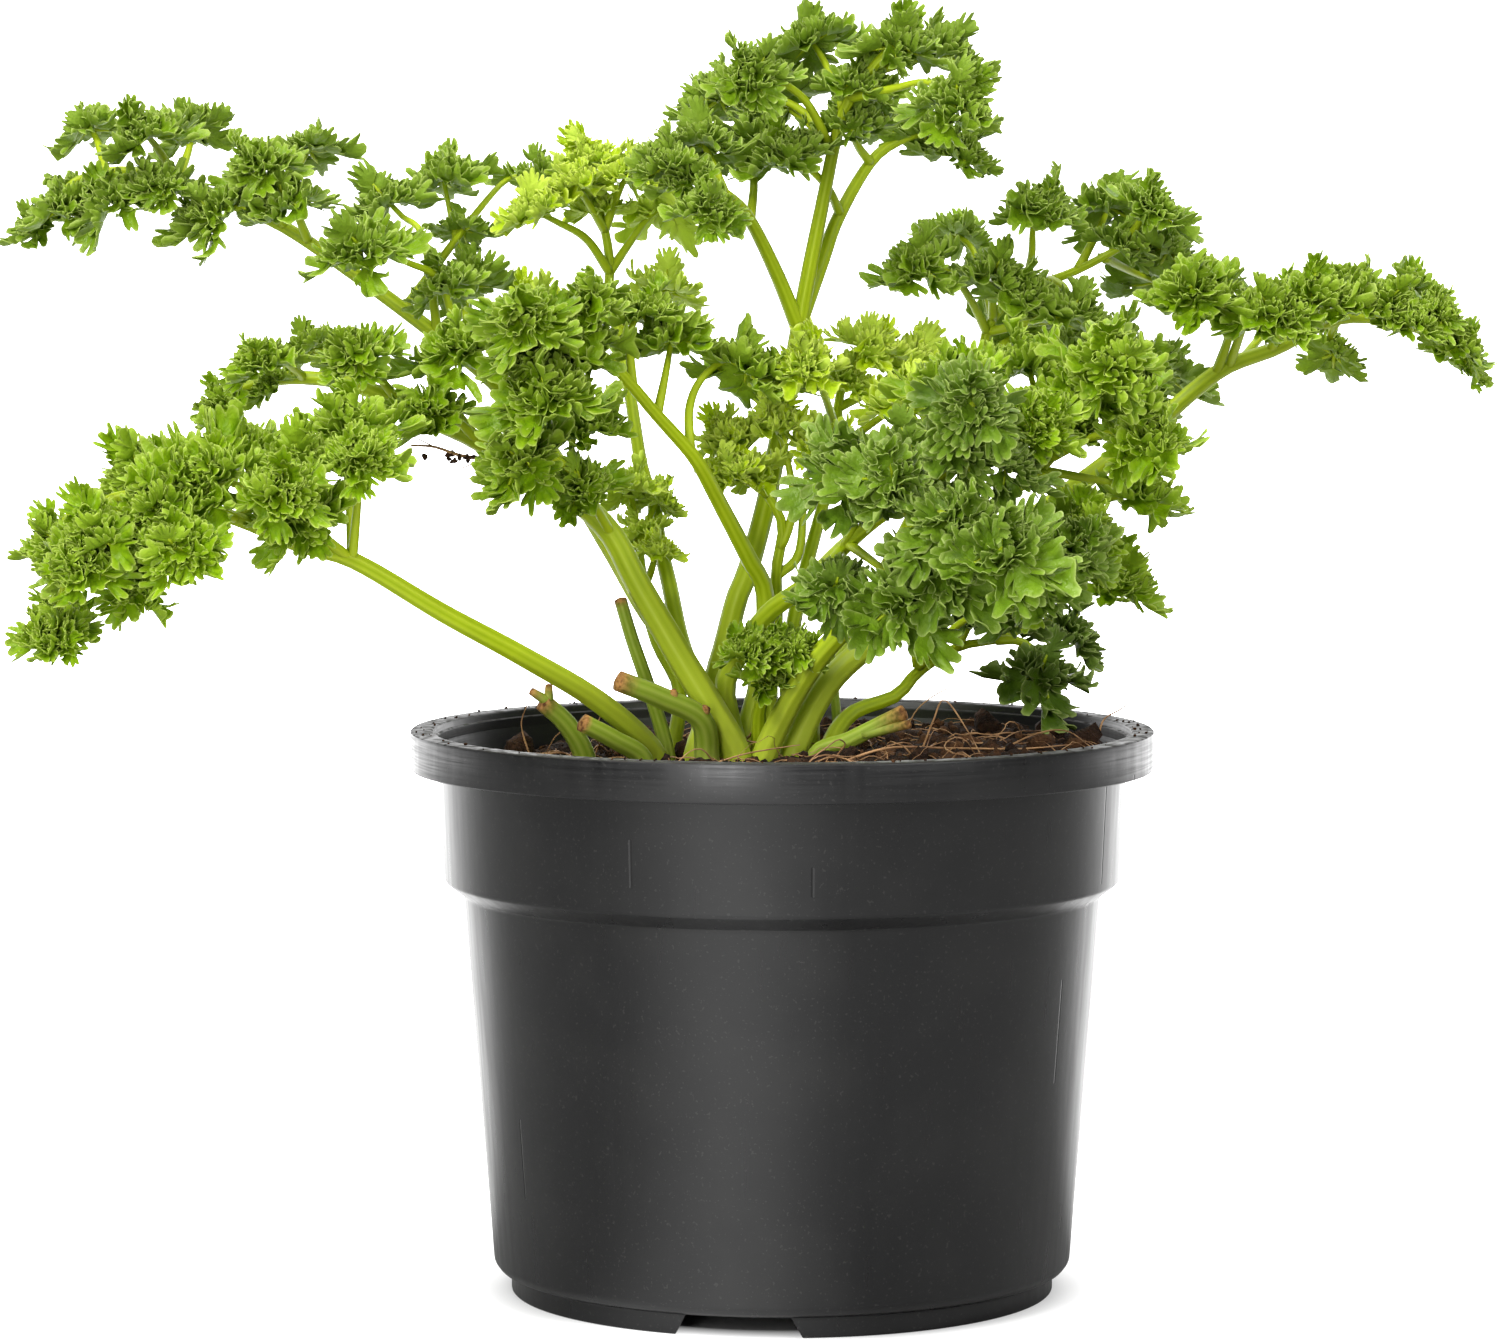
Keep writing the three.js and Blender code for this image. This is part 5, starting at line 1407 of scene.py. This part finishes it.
class Lobes:
    """Collects the lobes of a frond's leaves, each a thin fan with pointed teeth, and builds them."""

    def __init__(self, rng, look, wide):
        self.rows = {teeth: [] for teeth in DEEP_NOTCHES}
        self.wide = wide
        self.rng = rng
        self.look = look

    def add(self, origin, forward, upper, size, tint, curl):
        """Notes a lobe that grows from origin towards forward, with its upper face towards upper."""
        upper = square_to(forward, upper + self.rng.normal(0, TILTED, 3))
        teeth = int(self.rng.choice(list(self.rows)))
        self.rows[teeth].append((*origin, *forward, *upper, size, tint, curl))

    def build(self, mesh):
        """Adds all of the lobes to a mesh."""
        for teeth, rows in self.rows.items():
            if rows:
                self.build_alike(mesh, teeth, np.array(rows))

    def build_alike(self, mesh, teeth, rows):
        """All lobes with the same number of teeth at once, by lobe, face and point.

        A row holds three places or directions of three values each, then size, tint and curl.
        """
        s, x, faces = fan_grid(teeth)
        tip = np.sin(np.pi * ((x * teeth) % 1.0)) ** TOOTH_POWER
        points, normal = self.middle_faces(teeth, rows, s, x, tip)
        thick = self.look.thickness / MM / 2 * (1 - LOBE["thinner"] * s[:, None])
        both = np.stack([points + normal * thick, points - normal * thick], axis=1)

        outline = (s > 0) & ((x == 0) | (x == 1) | (s == 1))
        veined = [s == 0, s == RINGS[0], (s == RINGS[1]) & (tip > BY_TOOTH)]
        vein = np.select(veined, VEINS, 0.0)
        tint = rows[:, 10, None, None]
        spread = (len(rows), 2, len(s))
        shift = (2 * len(s) * np.arange(len(rows)))[:, None, None]
        mesh.add(
            both.reshape(-1, 3), [(faces[None] + shift).reshape(-1, 3)],
            along=np.broadcast_to(np.where(outline, 1.0, s), spread).ravel(),
            vein=np.broadcast_to(vein, spread).ravel(),
            tint=np.broadcast_to(tint, spread).ravel(),
            under=np.broadcast_to(np.array([0.0, 1.0])[None, :, None], spread).ravel(),
        )

    def middle_faces(self, teeth, rows, s, x, tip):
        """The points of each lobe's middle, and which way its upper face points at each of them."""
        origin, forward, upper = (rows[:, None, k : k + 3] for k in (0, 3, 6))
        size = rows[:, 9:10]
        reach, half, bend = self.outlines(teeth, rows[:, 11:12], x, tip)
        right = np.cross(forward, upper)
        a = (2 * x - 1) * half
        flat = size * s * (1 + (reach - 1) * s)
        turn = bend * s**BEND_POWER
        turn = np.where(np.abs(turn) < FLATTEST, FLATTEST, turn)
        out, rise = flat * np.sin(turn) / turn, flat * (1 - np.cos(turn)) / turn
        foot = LOBE["foot"]
        u, v = (foot + out) * np.cos(a) - foot, (foot + out) * np.sin(a)
        ridge = LOBE["ridge"] * size * half / teeth * (tip - LOBE["fold"]) * s**BEND_POWER
        w = rise + LOBE["cupped"] * np.abs(v) * s + ridge
        points = origin + u[..., None] * forward + v[..., None] * right + w[..., None] * upper
        radial = np.cos(a)[..., None] * forward + np.sin(a)[..., None] * right
        return points, np.cos(turn)[..., None] * upper - np.sin(turn)[..., None] * radial

    def outlines(self, teeth, curl, x, tip):
        """How far out each point of a lobe reaches, half of its angle, and how far it bends up."""
        rng, look = self.rng, self.look
        n = len(curl)
        tooth = np.minimum((x * teeth).astype(int), teeth - 1)
        deep = np.isclose((x * teeth)[:, None], DEEP_NOTCHES[teeth]).any(axis=1)
        notch = np.where(deep, DEEP_NOTCH, NOTCH + LOBE["shallower"] * self.wide)
        reach = (notch + (1 - notch) * tip) * (1 - LOBE["round"] * (2 * x - 1) ** 2)
        reach = reach * (1 + rng.normal(0, LOBE["uneven"], (n, teeth))[:, tooth] * tip)
        half = rng.uniform(*LOBE["half_angle"], (n, 1)) * (1 + LOBE["more_per_tooth"] * (teeth - 5))
        half = half * (1 + LOBE["wider"] * self.wide)
        wave = np.sin(2 * np.pi * (rng.uniform(*WAVES, (n, 1)) * x + rng.uniform(0, 1, (n, 1))))
        flick = rng.normal(*FLICK, (n, teeth))[:, tooth] * tip
        curl = look.curl * curl * rng.normal(1, CURL_SPREAD, (n, 1))
        return reach, half, curl + look.ruffle * wave + flick


def grow_leaflet(lobes, ribs, foot, direction, upper, size, tint, frills):
    """A leaflet: a short rib with pairs of lobes, one at its end, and some that stand up from it."""
    rng, rib = lobes.rng, LEAFLET_RIB
    upper = square_to(direction, upper + rng.normal(0, TILTED, 3))
    right = np.cross(direction, upper)
    middle = foot + direction * rib["middle"] * size
    end = foot + direction * rib["end"] * size + upper * rib["rise"] * size
    add_tube(ribs, np.array([foot, middle, end]), rib["radius"], rib["sides"], rib=0.6, along=0.8)
    blade = [(*lobe, FLAT) for lobe in BLADE_LOBES]
    frilled = [(*lobe, RAISED) for lobe in FRILLS[:frills]]
    for where, off, low, high, share_of_size, curl in blade + frilled:
        a, lift = math.radians(off + rng.uniform(-OFF, OFF)), math.radians(rng.uniform(low, high))
        level = direction * math.cos(a) + right * math.sin(a)
        forward = unit(level * math.cos(lift) + upper * math.sin(lift))
        length = size * share_of_size * rng.uniform(*LOBE_SIZES)
        tone = tint + rng.normal(0, LOBE_TINT)
        lobes.add(foot + (end - foot) * where, forward, upper, length, tone, curl)


def grow_crown(lobes, ribs, foot, heading, size, tint, style):
    """Leaflets that spread from one point: a drooping skirt all round, and a few that stand up."""
    rng = lobes.rng
    axis = crown_axis(foot, heading)
    ahead = square_to(axis, heading)
    right = np.cross(axis, ahead)
    for count, low, high, share_of_size in (style["skirt"], style["tuft"]):
        first = rng.uniform(0, 2 * np.pi)
        for k in range(count):
            a = first + 2 * np.pi * k / count + rng.uniform(-ROUND, ROUND)
            lift = math.radians(rng.uniform(low, high))
            level = ahead * math.cos(a) + right * math.sin(a)
            direction = unit(level * math.cos(lift) + axis * math.sin(lift))
            leaflet = size * share_of_size * rng.uniform(*LEAFLET_SIZES)
            tone = tint + rng.normal(0, LEAFLET_TINT)
            grow_leaflet(lobes, ribs, foot, direction, axis, leaflet, tone, style["frills"])


def grow_leaf(lobes, ribs, path, size, kind, style):
    """A leaf: a crown of leaflets at the end of its stalk, and for some another one before it."""
    heading = heading_of(path)
    tint = lobes.rng.uniform(*LEAF_TINT)
    for where, scale in CROWNS[kind]:
        grow_crown(lobes, ribs, at_share(path, where), heading, size * scale, tint, style)


def grow_stalks(ribs, frond, look):
    """The stalk of a frond and its arms, as their paths."""
    thick = frond["thick"]
    main = smooth_route(rooted(frond["stalk"]), MAIN_SPACING)
    add_stalk(ribs, main, thick, thick * (1 - look.taper), look)
    paths = [main]
    for thick, _, route in frond.get("arms", []):
        path = smooth_route(route, ARM["spacing"])
        add_stalk(ribs, path, thick, thick * ARM["taper"], look, foot=False, sides=ARM["sides"])
        paths.append(path)
    return paths


def grow_frond(name, frond, blade, stalk_look, leaf_look, slot, seed):
    """One frond: a ribbed stalk with its arms and side stalks, and a leaf at the end of each."""
    ribs, blades = Mesh("rib", "along", "cut"), Mesh("along", "vein", "tint", "under")
    style = STYLES[STYLE_OF.get(name, "tufted")]
    lobes = Lobes(np.random.default_rng(seed), leaf_look, style["wide"])
    paths = grow_stalks(ribs, frond, stalk_look)
    side = SIDE_STALK
    for leaflet, route in frond["leaves"]:
        start = nearest_on(paths, route[0])
        path = smooth_route([tuple(start), *route[1:]], side["spacing"])
        add_stalk(ribs, path, side["thick"], side["thin"], stalk_look, foot=False, sides=side["sides"])
        kind = "long" if run_of(path)[-1] > LONG_LEAF else "short"
        grow_leaf(lobes, ribs, path, leaflet * leaf_look.fill, kind, style)
    tips = [(leaflet, route) for _, leaflet, route in frond.get("arms", [])]
    for leaflet, route in [(frond["tip_leaf"], frond["stalk"]), *tips]:
        if leaflet:
            path = smooth_route(route[-3:], TIP_SPACING)
            grow_leaf(lobes, ribs, path, leaflet * leaf_look.fill, "tip", style)
    lobes.build(blades)
    ribs.object(f"{name}_stalks", blade["stalk"], slot, [name])
    made = blades.object(f"{name}_leaves", blade["leaf"], slot, [name])
    made.data.set_sharp_from_angle(angle=LEAF_SHARP)


class PARSLEY_OT_fronds(bpy.types.Operator):
    """Grows the fifteen fronds: ribbed stalks, side stalks and frilled leaves"""

    bl_idname = "parsley.fronds"
    bl_label = "Fronds"

    FIRST_SEED = 100

    def execute(self, context):
        leaf_look, look = settings("leaf"), settings("stalk")
        stalks = stalk("parsley_stalk_fresh", look.colour, look.rib_colour, look.foot_colour)
        leaves = {name: leaf_blade(f"parsley_{name}", tones) for name, tones in LEAF_COLOURS.items()}
        for seed, (name, frond) in enumerate(FRONDS.items(), self.FIRST_SEED):
            blade = {"stalk": stalks, "leaf": leaves[SHADED.get(name, SLOTS[name])]}
            grow_frond(name, frond, blade, look, leaf_look, SLOTS[name], seed)
        return {"FINISHED"}


STUB_CUTS = {  # length of the torn end of each
    "stub_torn": 2.5, "stub_cut": 1.2, "stub_brown": 3.5, "stub_upright": 1.4, "stub_sheath": 6.0,
}
STUB_SPACING = 1.2
STUB_ARM = {"spacing": 1.0, "taper": 0.7, "sides": 16}


class PARSLEY_OT_stubs(bpy.types.Operator):
    """Grows the cut and torn stubs of stalks that were picked, and a small pale shoot"""

    bl_idname = "parsley.stubs"
    bl_label = "Stubs"

    def execute(self, context):
        look, arm = settings("stalk"), STUB_ARM
        drying = stalk("stub_tissue_drying", "#7f9628", "#a3b04c", "#b4bc60")
        for name, stub in STUBS.items():
            mesh = Mesh("rib", "along", "cut")
            cut = STUB_CUTS.get(name, 0.0)
            path = smooth_route(rooted(stub["stalk"]), STUB_SPACING)
            add_stalk(mesh, path, stub["thick"], stub["thin"], look, cut=cut)
            for thick, route in stub.get("arms", []):
                path = smooth_route(route, arm["spacing"])
                thin = thick * arm["taper"]
                add_stalk(mesh, path, thick, thin, look, foot=False, sides=arm["sides"], cut=cut)
            mesh.object(f"{name}_stalk", drying, SLOTS[name], [name])
        return {"FINISHED"}


# ---- stage ----

VIEW_DOWN, VIEW_TURN = 4.595, 0.326  # degrees
LENS_PIXELS, IMAGE_WIDTH = 5663.6, 1500  # the lens, for an image of that width
SENSOR = 36.0  # millimetres
CLIP_NEAR, CLIP_FAR = 0.05, 50.0  # metres
AIM_HEIGHT = 0.12  # where the lamps point on the pot's axis, in metres

LAMPS = {  # in metres and watts
    "key": {"where": (-0.7, -0.9, 1.3), "width": 0.7, "height": 0.7, "power": 30},
    "fill": {"where": (0.9, -0.9, 0.8), "width": 0.7, "height": 0.7, "power": 13},
    "strip": {"where": (-0.38, -1.3, 0.3), "width": 0.3, "height": 0.7, "power": 10},
    "top": {"where": (0.1, 0.3, 1.3), "width": 1.0, "height": 1.0, "power": 12},
}

# Ramps of light on the paper and round it, as (first place, last place, strength at each of them).
BEHIND = (250.0, 650.0, 0.0, 4.0)  # millimetres to the back
NEAR_BEHIND = (math.radians(112), math.radians(155), 0.0, 2.5)  # turned away from the front
CLEAR = (40.0, 56.0, 0.0, 1.0)  # millimetres from the pot's axis
BEAM = (0.0, math.radians(42.0), 1.1, 0.0)  # turned away from the middle of the beam
BEAM_FADES = (350.0, 1100.0, 1.0, 0.35)  # millimetres from the pot's axis
SURROUNDINGS = (0.6, 0.85, 0.08, 2.8)  # how far a direction points to the back
BEAM_TURN = math.radians(16.6)  # to the left of the front
SEEN = 0.95  # strength of the paper as the camera sees it


def paper_glow(tree, where):
    """Strength of the light that the paper sends out, so that it is white for the eye and behind."""
    turn, away = round_the_pot(tree, where)
    # Under the pot and close round its foot the glow is turned off: a painted shadow of the pot.
    clear = add_node(tree, "MapRange", away, *CLEAR)
    seen = add_node(tree, "LightPath", output="Is Camera Ray")
    seen = add_node(tree, "Math", seen, SEEN, operation="MULTIPLY")
    aside = add_node(tree, "Math", turn, operation="ABSOLUTE")
    near = add_node(tree, "MapRange", aside, *NEAR_BEHIND, interpolation_type="SMOOTHSTEP")
    bright = add_node(tree, "Math", near, seen, operation="MAXIMUM")
    bright = add_node(tree, "Math", bright, clear, operation="MULTIPLY")
    # Behind the plant the paper glows brighter: painted light, which also lights the plant from behind.
    behind = add_node(tree, "SeparateXYZ", where, output="Y")
    behind = add_node(tree, "MapRange", behind, *BEHIND)
    glow = add_node(tree, "Math", bright, behind, operation="MAXIMUM")
    # A soft beam of painted glow lies on the paper, to the front and left. The pot's wall mirrors it
    # as an upright band. It fades with distance, so that the rim and the upper band mirror less of it.
    off = add_node(tree, "Math", turn, BEAM_TURN, operation="ADD")
    off = add_node(tree, "Math", off, operation="ABSOLUTE")
    beam = add_node(tree, "MapRange", off, *BEAM, interpolation_type="SMOOTHSTEP")
    fading = add_node(tree, "MapRange", away, *BEAM_FADES)
    beam = add_node(tree, "Math", beam, fading, operation="MULTIPLY")
    return add_node(tree, "Math", beam, clear, glow, operation="MULTIPLY_ADD")


def studio_paper():
    """Matt studio paper: pale grey and even, with a painted glow that hides where it ends and paints a
    beam and a shadow.
    """
    look = settings("stage")
    material, tree = new_material("studio_paper_matt")
    where = in_millimetres(tree)
    grain = patches(tree, where, size=400.0, low=0.3, high=0.7)
    shader = add_node(
        tree, "BsdfPrincipled", Base_Color=layered(tree, look.floor_colour, (grain, 0.1, "#ffffff")),
        Roughness=0.9, Specular_IOR_Level=0.1, Emission_Color="#ffffff",
        Emission_Strength=paper_glow(tree, where),
    )
    add_node(tree, "OutputMaterial", Surface=shader)
    return material


def add_floor(context):
    """The floor: one wide sheet of paper under the pot."""
    half = settings("stage").floor_size / 2
    mesh = bpy.data.meshes.new("floor")
    corners = [(-half, -half, 0), (half, -half, 0), (half, half, 0), (-half, half, 0)]
    mesh.from_pydata(corners, [], [(0, 1, 2, 3)])
    ground = bpy.data.objects.new("floor", mesh)
    mesh.materials.append(studio_paper())
    context.scene.collection.objects.link(ground)


def add_surroundings(context):
    """A white studio that is brighter behind the plant than in front of it."""
    world = bpy.data.worlds.new("studio")
    world.use_nodes = True
    tree = world.node_tree
    tree.nodes.clear()
    way = add_node(tree, "TexCoord", output="Generated")
    back = add_node(tree, "SeparateXYZ", way, output="Y")
    level = add_node(tree, "MapRange", back, *SURROUNDINGS)
    seen = add_node(tree, "LightPath", output="Is Camera Ray")
    level = add_node(tree, "Math", level, seen, operation="MAXIMUM")
    light = add_node(tree, "Background", Color="#ffffff", Strength=level)
    add_node(tree, "OutputWorld", Surface=light)
    context.scene.world = world


def add_lamp(context, name, where, width, height, power):
    """A soft rectangular lamp that faces the plant."""
    lamp = bpy.data.lights.new(name, "AREA")
    lamp.shape, lamp.size, lamp.size_y, lamp.energy = "RECTANGLE", width, height, power
    made = bpy.data.objects.new(name, lamp)
    made.location = where
    way = Vector((AXIS.x, AXIS.y, AIM_HEIGHT)) - Vector(where)
    made.rotation_euler = way.to_track_quat("-Z", "Y").to_euler()
    context.scene.collection.objects.link(made)


def add_camera(context):
    """The camera of the photograph's view, in front of the pot and looking slightly down."""
    look = settings("stage")
    camera = bpy.data.objects.new("camera", bpy.data.cameras.new("camera"))
    camera.data.lens = LENS_PIXELS / IMAGE_WIDTH * SENSOR
    camera.data.sensor_width = SENSOR
    camera.data.clip_start, camera.data.clip_end = CLIP_NEAR, CLIP_FAR
    camera.location = (AXIS.x, AXIS.y - look.distance, look.height)
    camera.rotation_euler = (math.radians(90 - VIEW_DOWN), 0, math.radians(VIEW_TURN))
    context.scene.collection.objects.link(camera)
    context.scene.camera = camera
    context.scene.view_settings.view_transform = "Standard"


class PARSLEY_OT_stage(bpy.types.Operator):
    """Sets the plain pale floor, the soft lamps, the pale surroundings and the camera"""

    bl_idname = "parsley.stage"
    bl_label = "Stage"

    def execute(self, context):
        add_floor(context)
        add_surroundings(context)
        for name, lamp in LAMPS.items():
            add_lamp(context, name, **lamp)
        add_camera(context)
        return {"FINISHED"}


OPERATORS = (
    PARSLEY_OT_pot, PARSLEY_OT_peat, PARSLEY_OT_crumbs, PARSLEY_OT_fibres, PARSLEY_OT_fronds,
    PARSLEY_OT_stubs, PARSLEY_OT_stage,
)


class PARSLEY_PT_panel(bpy.types.Panel):
    """The pieces of the plant, in the order they are made"""

    bl_label = "Parsley"
    bl_idname = "PARSLEY_PT_panel"
    bl_space_type = "VIEW_3D"
    bl_region_type = "UI"
    bl_category = "Parsley"

    def draw(self, context):
        for operator in OPERATORS:
            self.layout.operator(operator.bl_idname)


def register():
    for kind in (*SETTINGS.values(), *OPERATORS, PARSLEY_PT_panel):
        bpy.utils.register_class(kind)
    for name, kind in SETTINGS.items():
        setattr(bpy.types.Scene, name, PointerProperty(type=kind))


def unregister():
    for name in SETTINGS:
        delattr(bpy.types.Scene, name)
    for kind in reversed((*SETTINGS.values(), *OPERATORS, PARSLEY_PT_panel)):
        bpy.utils.unregister_class(kind)


def main():
    register()
    for operator in OPERATORS:
        group, name = operator.bl_idname.split(".")
        getattr(getattr(bpy.ops, group), name)()
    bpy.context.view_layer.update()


if __name__ == "__main__":
    main()
